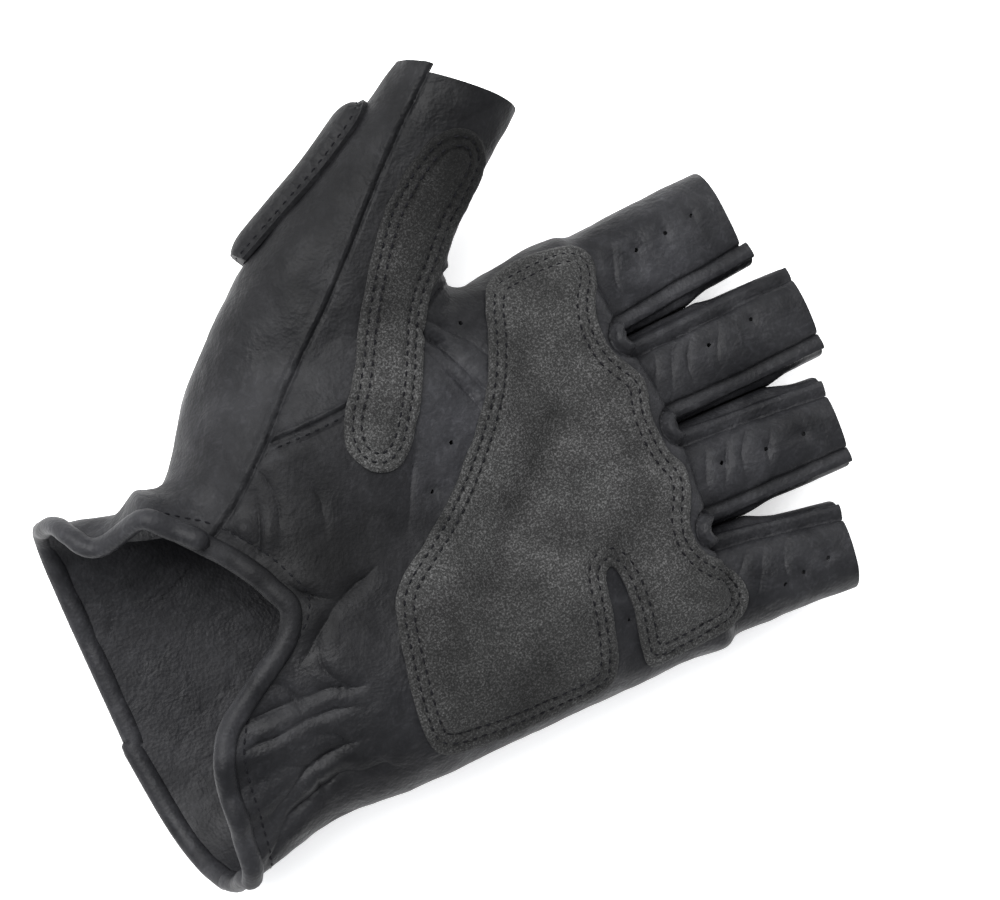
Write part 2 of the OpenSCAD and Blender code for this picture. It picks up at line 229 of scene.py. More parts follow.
def line_distance(x, y, line, closed=False):
    """Distance from each point to a line in the plane, its side, and how far along it is, 0 to 1.

    The side is 1 on the left. For a closed line it is 1 outside and -1 inside."""
    ends = np.roll(line, -1, 0) if closed else line[1:]
    starts = line if closed else line[:-1]
    run = np.concatenate([[0], np.cumsum(np.linalg.norm(ends - starts, axis=1))])
    best = np.full(x.shape, 1e9)
    side = np.ones(x.shape)
    along = np.zeros(x.shape)
    odd = np.zeros(x.shape, bool)
    for k, (a, b) in enumerate(zip(starts, ends)):
        d = b - a
        t = np.clip(((x - a[0]) * d[0] + (y - a[1]) * d[1]) / (d @ d), 0, 1)
        ex, ey = x - a[0] - t * d[0], y - a[1] - t * d[1]
        dist = np.hypot(ex, ey)
        near = dist < best - 1e-9
        side = np.where(near, np.sign(d[0] * ey - d[1] * ex), side)
        along = np.where(near, (run[k] + t * (run[k + 1] - run[k])) / run[-1], along)
        best = np.where(near, dist, best)
        if closed:
            crosses = (a[1] > y) != (b[1] > y)
            with np.errstate(divide="ignore", invalid="ignore"):
                odd ^= crosses & (x < a[0] + (y - a[1]) * d[0] / d[1])
    return best, (np.where(odd, -1.0, 1.0) if closed else side), along


# ---- the gloved hand as a distance field ----

BACK_Z = 5.0          # height of the back leather over the floor
KNUCKLE_H = 31.0
HEEL_H = 44.0
PALM_POWER = 2.7      # squareness of the palm side of a section
BACK_POWER = 2.9
# x, little-finger side, thumb side, share of the heel's height
HAND_ROWS = [
    (-112, -74, 26, 0.98), (-98, -73, 24, 0.98), (-84, -72, 20, 0.95), (-70, -69, 17, 0.85),
    (-58, -67.5, 20, 0.85), (-45, -68.5, 27, 1), (-25, -69.5, 30, 1), (0, -70.5, 31, 0.85),
    (20, -71, 33, 0.6), (40, -72, 34.5, 0.22), (60, -72.5, 35, 0)]
# where the palm ends between the fingers, by y
END_ROWS = [(-80, 45), (-60, 46), (-44.9, 49), (-32, 51), (-18.7, 52.4), (-6, 52), (6.1, 50.6), (20, 50),
            (40, 48)]

FINGERS = ("index", "middle", "ring", "little")
# half width of each stall at its root and at its end
HALF_WIDTH = {"index": (13.9, 12.8), "middle": (11.8, 11.0), "ring": (12.2, 10.9), "little": (12.9, 10.6)}
STALL_H = 25.0
STALL_Z = BACK_Z + STALL_H / 2
STALL_POWER = 2.5


def finger_frames():
    """Start, direction and length of each stall, read from the frame."""
    found = {}
    for f in FINGERS:
        joint = joints[f + "_flex"]
        start = np.array(joint["pos_m"]) / MM - DATUM
        ahead = np.array([-joint["axis"][1], joint["axis"][0]])
        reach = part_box(f + "_front")[1].x / MM - DATUM[0] - start[0]
        found[f] = (start[:2], ahead, (reach - HALF_WIDTH[f][1] * abs(ahead[1])) / ahead[0])
    return found


STALLS = finger_frames()


def stall_place(f, x, y):
    """How far along a stall and how far across it a point is."""
    (x0, y0), (cx, cy), _ = STALLS[f]
    return (x - x0) * cx + (y - y0) * cy, (y - y0) * cx - (x - x0) * cy


def stall_distance(f, x, y, z):
    """One finger's stall, which goes on a little way into the palm."""
    s, a = stall_place(f, x, y)
    length = STALLS[f][2]
    w0, w1 = HALF_WIDTH[f]
    share = np.clip(s / length, -0.4, 1.2)
    w = w0 + (w1 - w0) * share
    h = STALL_H / 2 * (1 - 0.06 * share)
    return smax(oval(a, z - STALL_Z, w, h, STALL_POWER), -(s + 16), 6)


def hand_section(x):
    """Middle across the hand, middle height, half width and half height of its section."""
    low, high, share = (smooth_table(x, HAND_ROWS, k) for k in (1, 2, 3))
    half_tall = (KNUCKLE_H + (HEEL_H - KNUCKLE_H) * share) / 2
    return (low + high) / 2, BACK_Z + half_tall, (high - low) / 2, half_tall


def hand_distance(x, y, z):
    """The palm and back without fingers or thumb."""
    mid, middle, half, half_tall = hand_section(x)
    d = oval(y - mid, z - middle, half, half_tall, np.where(z > middle, PALM_POWER, BACK_POWER))
    top = ease(-4, 10, z - middle)
    swell = (5.0 * bell((x + 20) / 28, 1) * bell((y - 20) / 17, 1)         # ball of the thumb
             + 2.2 * bell((x + 30) / 34, 1) * bell((y + 50) / 17, 1)        # heel below the little finger
             - 5.0 * bell((x - 5) / 32, 1) * bell((y + 17) / 20, 1)         # hollow of the palm
             + 1.6 * bell((x - 43) / 9, 1))                                 # pads below the fingers
    return smax(d - swell * top, x - smooth_table(y, END_ROWS), 3.5)


THUMB_AHEAD = np.array([0.657, 0.754])
# upright sections of the thumb: distance along it, middle across it, middle height, half width, half height
THUMB_ROWS = [
    (-30, 36, 22, 20, 15), (-13, 38, 24, 23, 17), (3, 37, 26, 24.4, 18.5), (18, 35.5, 30, 24.3, 18.5),
    (28, 34.2, 33, 23.3, 17.8), (40.5, 32.2, 36, 20.2, 17), (51, 29.8, 39, 17.9, 16),
    (66.6, 25.9, 43.5, 16.3, 14.9), (82.4, 21.3, 48, 15.3, 13.8), (97, 17.5, 52, 15, 13.8)]
THUMB_POWER = 2.3


def along_thumb(x, y):
    return x * THUMB_AHEAD[0] + y * THUMB_AHEAD[1]


def across_thumb(x, y):
    """Grows towards the outer side of the thumb."""
    return y * THUMB_AHEAD[0] - x * THUMB_AHEAD[1]


def thumb_section(t):
    """Middle across the thumb, middle height, half width and half height of its section."""
    return [smooth_table(t, THUMB_ROWS, k) for k in range(1, 5)]


def thumb_distance(x, y, z):
    t, a = along_thumb(x, y), across_thumb(x, y)
    mid, high, w, h = thumb_section(t)
    return oval(a - mid, z - high, w, h, THUMB_POWER, np.minimum(t - THUMB_ROWS[0][0], 0))


def glove_distance(x, y, z, thumb=thumb_distance):
    """About the distance to the smooth glove, below zero inside."""
    body = smin(hand_distance(x, y, z), thumb(x, y, z), 11)
    stalls = stall_distance("index", x, y, z)
    for f in FINGERS[1:]:
        stalls = np.minimum(stalls, stall_distance(f, x, y, z))
    return smin(body, stalls, 4)


# ---- meshing ----

GRID_LOW = np.array([-111.0, -84.0, -1.5])
GRID_HIGH = np.array([106.0, 100.0, 72.0])
GRID_STEP = 1.0


def thumb_on_grid(x, y, z):
    """The thumb's distance on the grid, worked out only near the thumb."""
    full = np.full((x.size, y.size, z.size), 60.0, np.float32)
    i = np.nonzero((x.ravel() > -80) & (x.ravel() < 68))[0]
    j = np.nonzero(y.ravel() > -12)[0]
    full[i[0]:i[-1] + 1, j[0]:j[-1] + 1] = thumb_distance(x[i], y[:, j], z)
    return full


def surface_nets(low, high, step):
    """Quads of the glove's outer surface, from its distance on a regular grid."""
    axes = [np.arange(low[k], high[k], step) for k in range(3)]
    x, y, z = np.meshgrid(*axes, indexing="ij", sparse=True)
    d = glove_distance(x, y, z, thumb_on_grid)
    inside = d < 0
    corners = [(i, j, k) for i in (0, 1) for j in (0, 1) for k in (0, 1)]
    shape = tuple(n - 1 for n in d.shape)
    part = [slice(0, -1), slice(1, None)]
    count = sum(inside[part[i], part[j], part[k]].astype(np.int8) for i, j, k in corners)
    cells = np.argwhere((count > 0) & (count < 8))
    index = np.full(shape, -1, np.int64)
    index[tuple(cells.T)] = np.arange(len(cells))
    value = {c: d[tuple((cells + c).T)] for c in corners}
    total, hits = np.zeros((len(cells), 3)), np.zeros(len(cells))
    for a in corners:
        for b in corners:
            if a < b and sum(abs(p - q) for p, q in zip(a, b)) == 1:
                va, vb = value[a], value[b]
                on = (va < 0) != (vb < 0)
                t = (va / np.where(on, va - vb, 1))[on, None]
                total[on] += np.array(a) + t * (np.array(b) - np.array(a))
                hits[on] += 1
    verts = low + (cells + total / hits[:, None]) * step
    quads = []
    for axis in range(3):
        u, v = [(1, 2), (2, 0), (0, 1)][axis]
        first = [slice(None)] * 3
        second = [slice(None)] * 3
        first[axis], second[axis] = part
        a = inside[tuple(first)]
        edge = np.argwhere(a != inside[tuple(second)])
        edge = edge[(edge[:, u] > 0) & (edge[:, v] > 0) & (edge[:, u] < shape[u]) & (edge[:, v] < shape[v])]
        ring = []
        for du, dv in ((-1, -1), (0, -1), (0, 0), (-1, 0)):
            c = edge.copy()
            c[:, u] += du
            c[:, v] += dv
            ring.append(index[tuple(c.T)])
        quad = np.stack(ring, 1)
        leaving = a[tuple(edge.T)]
        quads.append(np.where(leaving[:, None], quad, quad[:, ::-1]))
    return verts, np.concatenate(quads)


def slopes(v):
    """Outward unit normals of the distance field at points."""
    e = 0.25
    out = np.zeros_like(v)
    for k in range(3):
        o = np.zeros(3)
        o[k] = e
        out[:, k] = (glove_distance(*(v + o).T) - glove_distance(*(v - o).T)) / (2 * e)
    return out


def onto_surface(v, times=2):
    """Points moved onto the glove's surface."""
    for _ in range(times):
        g = slopes(v)
        d = glove_distance(*v.T)
        v = v - np.clip(d / np.maximum((g**2).sum(1), 0.2), -1, 1)[:, None] * g
    return v


def relaxed(v, quads):
    """Evens out the mesh along the surface."""
    e = np.concatenate([quads[:, [k, (k + 1) % 4]] for k in range(4)])
    e = np.concatenate([e, e[:, ::-1]])
    near = np.bincount(e[:, 0], minlength=len(v))
    for _ in range(4):
        mean = np.stack([np.bincount(e[:, 0], v[e[:, 1], k], len(v)) for k in range(3)], 1) / near[:, None]
        v = onto_surface(v + 0.6 * (mean - v), 1)
    return onto_surface(v, 2)


def cut(v, t, g):
    """Splits triangles along g = 0, so that none has corners on both sides."""
    g = np.where(np.abs(g) < 0.04, 0, g)
    s = np.sign(g)[t]
    mixed = (s.min(1) < 0) & (s.max(1) > 0)
    work, ws = t[mixed], s[mixed]
    e = np.stack([work, np.roll(work, -1, 1)], 2)             # edge k runs from corner k to corner k + 1
    crossing = ws * np.roll(ws, -1, 1) < 0
    pairs = np.sort(e[crossing], 1)
    pairs, back = np.unique(pairs, axis=0, return_inverse=True)
    w = g[pairs[:, 0]] / (g[pairs[:, 0]] - g[pairs[:, 1]])
    fresh = v[pairs[:, 0]] + w[:, None] * (v[pairs[:, 1]] - v[pairs[:, 0]])
    mid = np.full(work.shape, -1)
    mid[crossing] = len(v) + back.ravel()
    done = [t[~mixed]]
    for k in range(3):
        a, b, c = work[:, k], work[:, (k + 1) % 3], work[:, (k + 2) % 3]
        ab, bc, ca = mid[:, k], mid[:, (k + 1) % 3], mid[:, (k + 2) % 3]
        lone = (ab >= 0) & (ca >= 0)                          # corner a is alone on its side
        done += [np.stack(x, 1)[lone] for x in ((a, ab, ca), (ab, b, c), (ab, c, ca))]
        flat = (bc >= 0) & (ab < 0) & (ca < 0)                # corner a lies on the cut
        done += [np.stack(x, 1)[flat] for x in ((a, b, bc), (a, bc, c))]
    return np.vstack([v, fresh]), np.concatenate(done)


def face_normals(v, t):
    """Each triangle's normal, as long as twice its area."""
    return np.cross(v[t[:, 1]] - v[t[:, 0]], v[t[:, 2]] - v[t[:, 0]])


def mesh_normals(v, t):
    """Smooth normals at a mesh's corners, from its triangles."""
    n = face_normals(v, t)
    return unit(np.stack([sum(np.bincount(t[:, c], n[:, k], len(v)) for c in range(3)) for k in range(3)], 1))


# ---- seams and outlines ----

THUMB_SPLIT = 33.5        # the thumb starts to turn here, along THUMB_AHEAD
THUMB_END = 78.4
FINGER_SPLIT = 1.2        # a stall starts to turn this far from its hinge
WALL_HALF = 9.2           # half height of the strip between two fingers
WALL_EXTRA = 2.2          # how far the strip by the index stands out of its stall's end
WALL_MORE = 0.5           # how far the other strips do

SIDE_SEAM = rounded([(36, 85.2), (30.3, 80.2), (11.2, 64.2), (-12.1, 41.5), (-28.2, 28.6), (-38.6, 18.3),
                     (-50.1, 8.5), (-58, 3.5), (-68, -1)], closed=False, times=2)
LOW_SEAM = rounded([(-39.5, 17.6), (-28.4, 17.2), (-18.2, 17.7), (-8, 21), (2, 28), (9, 34),
                    (18, 38), (40, 44)], closed=False, times=2)
PALM_PATCH = rounded([
    (24, 31), (33, 32.5), (43, 32.6), (50, 31), (52.4, 27), (51, 21.5), (46.3, 16.5), (44.6, 11), (44.6, 4.5),
    (47.6, -1.5), (50, -5), (48.6, -9), (46.8, -13), (46.8, -18), (47.4, -24), (49.6, -29), (47.3, -36),
    (44, -40), (43.6, -46), (46, -51), (50.6, -54.5), (52.6, -59), (52, -64.5), (47, -67.6), (34.5, -68.4),
    (24, -68.2), (20.6, -66), (22.4, -57.5), (23.6, -49), (23.2, -42.5), (21.4, -41), (19.4, -43.5),
    (17.5, -53), (13.2, -66), (9.5, -68), (-3.5, -68), (-23.1, -66.2), (-31.6, -64.2), (-34.6, -60.5),
    (-34.2, -53), (-31, -36), (-28.6, -27.8), (-24.5, -23), (-15, -17.6), (-5.6, -11.2), (8.8, 2.6),
    (17.2, 14.5)], times=2)
THUMB_PATCH = rounded([
    (27, 65.4), (21.6, 64.7), (10.5, 57.8), (3.4, 50.7), (-5.7, 38.4), (-15, 22.4), (-20.4, 16.6),
    (-23.3, 10.6), (-22.8, 4.6), (-18.6, 0.4), (-13, 0.6), (-7.8, 5), (0.2, 16.8), (5.5, 27), (9, 32.6),
    (15.6, 38.6), (20, 43.5), (26.5, 48.6), (33.3, 53.8), (35.4, 59.5), (32, 64)], times=2)
# cuff edge along x, by angle round the wrist: 0 is the thumb side and 90 the palm
RIM = [(-100, -94), (-50, -93.5), (-20, -92.5), (0, -90.5), (15, -88.5), (26, -86.5), (33, -83.5), (37, -78),
       (41, -71), (47, -65.5), (56, -60.5), (67, -55.4), (78, -51.6), (88, -50.2), (93, -54), (98, -64),
       (103, -72), (110, -77), (122, -79.5), (135, -80.5), (150, -82), (170, -84), (190, -86), (210, -89),
       (235, -93), (260, -95)]
SLOTS = [(51.3, 5.8), (53.3, -18.7), (50.1, -44.7)]      # where the gaps between the fingers start
SLOT_R = 4.4          # the turned edge between two fingers goes round the gap's start at this distance
# the vent holes
VENTS = [(63.4, 23.9), (71.8, 24.7), (79.8, 26), (69.9, -4.4), (82.2, -3), (60.2, -31.5), (71.8, -33.1),
         (82.1, -33.8), (62, -64.9), (67.4, -64), (74.4, -63.5), (14.9, 24.9), (0.1, 0.1), (-9, -8.1),
         (21.2, -55)]
THUMB_PATCH_LOW = 38      # the thumb's patch stays above this height
GAP_SPLITS = (-6.3, -31.9)      # the middles of the two middle fingers, which part one gap from the next


def nearest_finger(x, y):
    """Which stall a point lies nearest to, as 0 for the index to 3 for the little finger."""
    across = np.stack([np.abs(stall_place(f, x, y)[1]) / HALF_WIDTH[f][0] for f in FINGERS])
    return across.argmin(0)


def own_stall(x, y):
    """Distance along the nearest stall and across it, the stall's length, and which it is."""
    which = nearest_finger(x, y)
    places = np.array([stall_place(f, x, y) for f in FINGERS])
    s, across = np.take_along_axis(places, which[None, None], 0)[0]
    lengths = np.array([STALLS[f][2] for f in FINGERS])
    return s, across, lengths[which], which


def in_gap(x, y):
    """Below zero between the middle lines of two fingers, past the palm."""
    across = [stall_place(f, x, y)[1] for f in FINGERS]
    inside = np.maximum(across[0], -across[3])
    return np.maximum(inside, 40 - x)


def slot_place(x, y):
    """Distance to the nearest gap between fingers, seen from above, and distance across it.

    The distance across is above zero on the thumb's side."""
    best, across = np.full(x.shape, 1e9), np.zeros(x.shape)
    for k, (x0, y0) in enumerate(SLOTS):
        (_, a, _), (_, b, _) = STALLS[FINGERS[k]], STALLS[FINGERS[k + 1]]
        cx, cy = (a + b) / np.linalg.norm(a + b)
        s = np.maximum((x - x0) * cx + (y - y0) * cy, 0)
        side = (y - y0) * cx - (x - x0) * cy
        far = np.hypot(x - x0 - s * cx, y - y0 - s * cy)
        across = np.where(far < best, side, across)
        best = np.minimum(far, best)
    return best, across


def which_gap(y):
    """0, 1 or 2 for the gap between fingers, counted from the index."""
    return sum((y < split).astype(int) for split in GAP_SPLITS)


def thumb_side(x, y):
    """True on the thumb, past the crotch between it and the index finger."""
    return (along_thumb(x, y) > 28) & (y - 33 > (x - 12) * 0.4)


def rim_x(v):
    """The cuff edge's place along x at each point's angle round the wrist, and that angle."""
    x, y, z = v.T
    mid, middle, half, half_tall = hand_section(x)
    angle = np.degrees(np.arctan2((z - middle) / half_tall, (y - mid) / half))
    angle = np.where(angle < RIM[0][0], angle + 360, angle)
    return smooth_table(angle, RIM), angle


def thumb_polar(v):
    """Angle round the thumb (0 outer side, 90 palm side) and its mean radius there."""
    x, y, z = v.T
    mid, high, w, h = thumb_section(along_thumb(x, y))
    return np.degrees(np.arctan2((z - high) / h, (across_thumb(x, y) - mid) / w)), (w + h) / 2


def box_outline(a, b, half_a, half_b, r):
    """Distance to a rounded rectangle, below zero inside."""
    qa, qb = np.abs(a) - half_a + r, np.abs(b) - half_b + r
    return np.hypot(np.maximum(qa, 0), np.maximum(qb, 0)) + np.minimum(np.maximum(qa, qb), 0) - r


# folds of the palm side: points, depth and half width
FOLDS = [
    # from the crotch of the thumb towards the palm
    ([(3, 31), (8, 21), (12, 10), (15, 3)], 2.1, 1.1), ([(1, 27), (5, 19), (9, 9), (10, 2)], 1.5, 1.0),
    ([(6, 30), (13, 21), (18, 14)], 0.9, 0.9), ([(-5, 9), (-12, -4), (-19, -15)], 1.0, 1.6),
    # gathers along the cuff
    ([(-46, 9), (-50, -3), (-54, -7)], 1.0, 1.0), ([(-40, -22), (-45, -18), (-50, -13)], 1.3, 1.2),
    ([(-53, -31), (-45, -25), (-37, -21), (-28, -18)], 1.6, 1.6),
    ([(-72, -38), (-60, -37.5), (-52, -38.5), (-42, -42)], 1.4, 1.1),
    ([(-74, -44), (-63, -42.8), (-55, -42.3), (-45, -45)], 1.1, 0.9),
    ([(-74, -61), (-64, -54), (-55, -52), (-46, -53)], 1.4, 1.1),
    ([(-73, -64.5), (-63, -59), (-53, -58), (-44, -61)], 1.2, 1.0),
    ([(-80, -70), (-71, -62.6), (-64, -60)], 0.9, 1.0),
    ([(-66, -30), (-60, -33), (-57, -38), (-58, -43)], 0.9, 0.8),
    ([(-57, -46), (-52, -50), (-50, -56)], 0.8, 0.8), ([(-48, -28), (-50, -35), (-45, -41)], 0.7, 0.8),
    ([(-66, -49), (-62, -52), (-60, -58), (-62, -63)], 0.7, 0.8),
    ([(-58, 5), (-53, 1), (-51, -5)], 0.9, 0.8), ([(-62, 3), (-58, -3), (-57, -9)], 0.9, 0.8),
    ([(-44, 13), (-42, 5), (-45, -2)], 0.7, 0.8), ([(-36, 10), (-33, 2), (-36, -8)], 0.5, 0.9),
]
# broad valleys and ridges of the palm: points, height and half width
WAVES = [([(34, 2), (22, -12), (8, -24), (-4, -33), (-10, -44)], -2.7, 5.5),
         ([(30, 16), (24, 8), (20, 2)], -1.9, 5),
         ([(40, -14), (30, -26), (20, -36), (10, -46)], 1.8, 6), ([(0, -8), (-10, -20), (-20, -32)], 1.0, 6),
         ([(14, -52), (8, -60)], 1.1, 6), ([(44, -52), (34, -60)], 1.1, 6),
         ([(-4, -54), (-18, -52)], -1.0, 7)]
# soft swellings: middle, radius, height
SWELLS = [((-70, 11), 7.5, 8), ((-83, 13), 6, -3.5), ((-62, -48), 9, 1.4), ((-60, -30), 7, 1.3),
          ((-46, -33), 8, 1.2), ((-57, -1), 2.6, 1.1), ((-52, 2), 2.6, 1.2), ((-55, -8), 2.4, 0.9),
          ((-48, -1), 2.4, 0.9)]
# creases across the stalls' palm sides: distance along, lean, bend, depth and half width
CREASES = {
    "index": [(3, 3, 4, 0.5, 0.8), (13, -1, 2, 0.25, 0.7), (19, 1, 2, 0.2, 0.7), (27, 0, 1, 0.2, 0.7)],
    "middle": [(1, 3, 2, 0.5, 0.7), (5, 6, 4, 0.6, 0.7), (10, 5, 4, 0.6, 0.6), (18, 4, 3, 0.4, 0.6),
               (29, -1, 2, 0.2, 0.7)],
    "ring": [(2, 3, 2, 0.5, 0.7), (7, 6, 4, 0.6, 0.7), (12, 5, 4, 0.6, 0.6), (19, 4, 3, 0.4, 0.6),
             (28, 0, 2, 0.2, 0.7)],
    "little": [(0, 7, 4, 0.6, 0.8), (6, 6, 4, 0.4, 0.7), (13, 3, 3, 0.3, 0.7)]}
# the strips of each gap touch as far as this along the stalls, and belly out this much beyond
GAP_CLOSED = (17, 26, 9)
GAP_FILL = (0.6, 1.1, 0.7)


def crease_lines():
    """Every fold of the palm side as (line, depth, half width)."""
    lines = []
    for points, depth, width in FOLDS:
        line = rounded(points, closed=False, times=3)
        sway = noise(np.column_stack([line, 0 * line[:, 0]]), 5, 31)
        lines.append((line + 0.9 * sway[:, None] * np.array([0.3, 1.0]), depth, width))
    for name, rows in CREASES.items():
        (x0, y0), (cx, cy), _ = STALLS[name]
        w = HALF_WIDTH[name][0]
        for k, (at, lean, bend, depth, width) in enumerate(rows):
            share = np.linspace(-0.85, 0.6, 7) * (-1) ** k
            s = at + lean * share + bend * share**2 + 0.5 * np.sin(5 * share + 2 * k)
            a = share * w
            lines.append((np.stack([x0 + s * cx - a * cy, y0 + s * cy + a * cx], 1), depth, width))
    return lines


CREASE_LINES = crease_lines()


def creases(x, y):
    """Height of the folds at each point, and the distance to the nearest fold.

    A fold is a sharp valley with a soft ridge on both sides."""
    total = np.zeros(x.shape)
    nearest = np.full(x.shape, 60.0)
    for line, depth, width in CREASE_LINES:
        low, high = line.min(0) - 6 * width, line.max(0) + 6 * width
        near = np.nonzero((x > low[0]) & (x < high[0]) & (y > low[1]) & (y < high[1]))[0]
        if len(near) == 0:
            continue
        d, side, along = line_distance(x[near], y[near], line)
        fade = np.sqrt(np.clip(np.sin(np.pi * along), 0, 1)) * (0.8 + 0.3 * np.sin(9 * along + line[0, 1]))
        beside = max(width, 0.9)
        total[near] += depth * fade * (0.22 * bell(d - 2.4 * beside, 1.8 * beside) - np.exp(-(d / width)))
        closer = d < np.abs(nearest[near])
        nearest[near[closer]] = (d * side)[closer]
    return total, nearest


def waves(x, y):
    """Height of the palm's broad valleys and ridges at each point."""
    total = np.zeros(x.shape)
    for points, high, width in WAVES:
        d, _, along = line_distance(x, y, rounded(points, closed=False, times=1))
        total += high * bell(d, width) * (0.7 + 0.3 * np.sin(np.pi * along))
    return total


# middle and half length along the thumb, middle angle and half length round it, corner radius
THUMB_PAD = (48.0, 22.5, -14.0, 12.5, 8.0)
BACK_PAD = (2.0, -19.0, 33.0, 31.0, 12.0)        # middle, half sizes, corner radius
FINGER_PAD = (20.0, 11.0, 7.6, 5.0)              # middle along the stall, half sizes, corner radius


def fields(v):
    """Every seam and outline as a signed distance at each point."""
    x, y, z = v.T
    ragged = 0.35 * noise(v, 4.5, 11)       # hand-cut outlines
    s, across, length, which = own_stall(x, y)
    gap = in_gap(x, y)
    t = along_thumb(x, y)
    top = slopes(v)[:, 2]
    middle = hand_section(x)[1]
    far = 60.0                              # stands for a seam or outline that isn't near
    f = {}
    by_index = (which == 1) & (across > 0)
    half = np.where(by_index, WALL_HALF - 1.2 * ease(4, 14, s), WALL_HALF)
    wall = np.where(gap < 0, np.abs(z - STALL_Z) - half, far)
    f["wall"] = np.where((z > STALL_Z) & (x > 40), np.minimum(wall, slot_place(x, y)[0] - SLOT_R), wall)
    on_thumb = thumb_side(x, y)
    f["finger"] = np.where((x > 44) & ~on_thumb, s - FINGER_SPLIT, -far)
    f["stall_end"] = np.where((x > 60) & ~on_thumb, s - length, -far)
    side_z = np.interp(x, [-80, -20, 50, 80], [19, 18, 15, 12.5])
    thumb_z = np.interp(t, [28, 42, 84], [15, 24, 40])
    f["side"] = z - np.where(on_thumb, thumb_z, side_z)
    d, side, _ = line_distance(x, y, SIDE_SEAM)
    f["side_seam"] = np.where((top > -0.1) & (z > middle - 3) & (y > -8), d * side, far * side)
    d, side, _ = line_distance(x, y, LOW_SEAM)
    f["low_seam"] = np.where((z > thumb_z - 1) & (y > 8), d * side, far * side)
    f["thumb"] = np.where(y > 28, t - THUMB_SPLIT, -far)
    f["thumb_end"] = np.where(on_thumb, t - THUMB_END, -far)
    edge, _ = rim_x(v)
    f["cuff"] = np.where(x < -30, x - edge, far)
    for name, outline, over in (("palm_patch", PALM_PATCH, z > middle - 2),
                                ("thumb_patch", THUMB_PATCH, z > THUMB_PATCH_LOW)):
        d, sign, _ = line_distance(x, y, outline, closed=True)
        f[name] = np.where(over & (top > -0.2), d * sign + ragged, far)
    on_front = thumb_section(t)[1] + 4 - z          # the patch stays on the thumb's palm side
    f["thumb_patch"] = np.maximum(f["thumb_patch"], np.where(z > THUMB_PATCH_LOW, on_front, -far))
    angle, radius = thumb_polar(v)
    t0, half_t, angle0, half_round, corner = THUMB_PAD
    pad = box_outline(t - t0, np.radians(angle - angle0) * radius, half_t, half_round, corner)
    f["thumb_pad"] = np.where(on_thumb, pad, far)
    pad = box_outline(x - BACK_PAD[0], y - BACK_PAD[1], *BACK_PAD[2:])
    f["back_pad"] = np.where(top < -0.3, pad, far)
    pad = box_outline(s - FINGER_PAD[0], across, *FINGER_PAD[1:])
    f["finger_pad"] = np.where((top < 0) & (x > 50) & (z < 14), pad, far)
    holes = np.min([np.hypot(x - a, y - b) for a, b in VENTS], axis=0)
    f["vent"] = np.where(top > 0.3, holes, far)
    f["crease"] = np.where((top > 0.1) & (f["wall"] > 0), creases(x, y)[1], far)
    return f


VENT_R = 0.6
THUMB_LIP = 2.2           # how far the thumb's back stands out of its front
STITCH_IN = 1.2           # the pads' stitches run this far inside their edge
# distances from each seam or outline at which the skin gets an edge of its own
CUT_LEVELS = {
    "wall": (-2.8, -2.1, -1.4, -0.7, 0, 0.4, 1.0), "finger": (0,), "stall_end": (0, WALL_MORE, WALL_EXTRA),
    "side": (-0.8, 0, 0.8), "side_seam": (-2.4, -1.2, -0.5, 0, 0.5, 1.2, 2.4),
    "low_seam": (-2.6, -1.6, -0.6, 0, 0.6, 1.2), "thumb": (0,), "thumb_end": (0, THUMB_LIP), "cuff": (0, 3.4),
    "palm_patch": (-4.9, -4.4, -3.9, -2.6, -2.1, -1.6, -0.8, 0, 0.5),
    "thumb_patch": (-4.5, -4.0, -3.5, -2.5, -2.0, -1.5, -0.8, 0, 0.5),
    "thumb_pad": (-2.4, -STITCH_IN, 0, 0.6), "back_pad": (-3.0, -STITCH_IN, 0, 0.6),
    "finger_pad": (-2.2, -STITCH_IN, 0), "vent": (VENT_R, 1.1, 1.8), "crease": (-0.5, 0, 0.5)}


def skin_mesh():
    """The glove's smooth skin as triangles with an edge along every seam, and each corner's fields."""
    v, quads = surface_nets(GRID_LOW, GRID_HIGH, GRID_STEP)
    v = relaxed(v, quads)
    t = np.concatenate([quads[:, [0, 1, 2]], quads[:, [0, 2, 3]]])
    top = slopes(v)[:, 2] > 0.2
    for a, b in VENTS:                     # one corner of the mesh moves to each vent hole
        k = (np.hypot(v[:, 0] - a, v[:, 1] - b) + np.where(top, 0, 99)).argmin()
        v[k, :2] = a, b
    v = onto_surface(v, 1)
    found = fields(v)
    data = np.column_stack([v] + [found[n] for n in CUT_LEVELS])
    for k, levels in enumerate(CUT_LEVELS.values()):
        for level in levels:
            data, t = cut(data, t, data[:, 3 + k] - level)
    return data[:, :3], t, {n: data[:, 3 + k] for k, n in enumerate(CUT_LEVELS)}


# ---- how the worn leather stands out and folds ----

def worn_relief(v, f, up):
    """Unevenness, folds, waves and swellings of the worn leather."""
    x, y, _ = v.T
    rough = 0.35 + 0.65 * ease(-4, 0, f["wall"])
    d = rough * (0.5 * noise(v, 17, 1) + 0.28 * noise(v, 7, 2) + 0.12 * noise(v, 3, 3))
    d += creases(x, y)[0] * up * ease(0, 2.0, f["wall"]) * ease(-1.5, 1.5, f["palm_patch"])
    d += waves(x, y) * up * (x < 60) * ease(0, 2.0, f["wall"])
    for (a, b), radius, high in SWELLS:
        d += high * bell(np.hypot(x - a, y - b), radius) * up
    return d


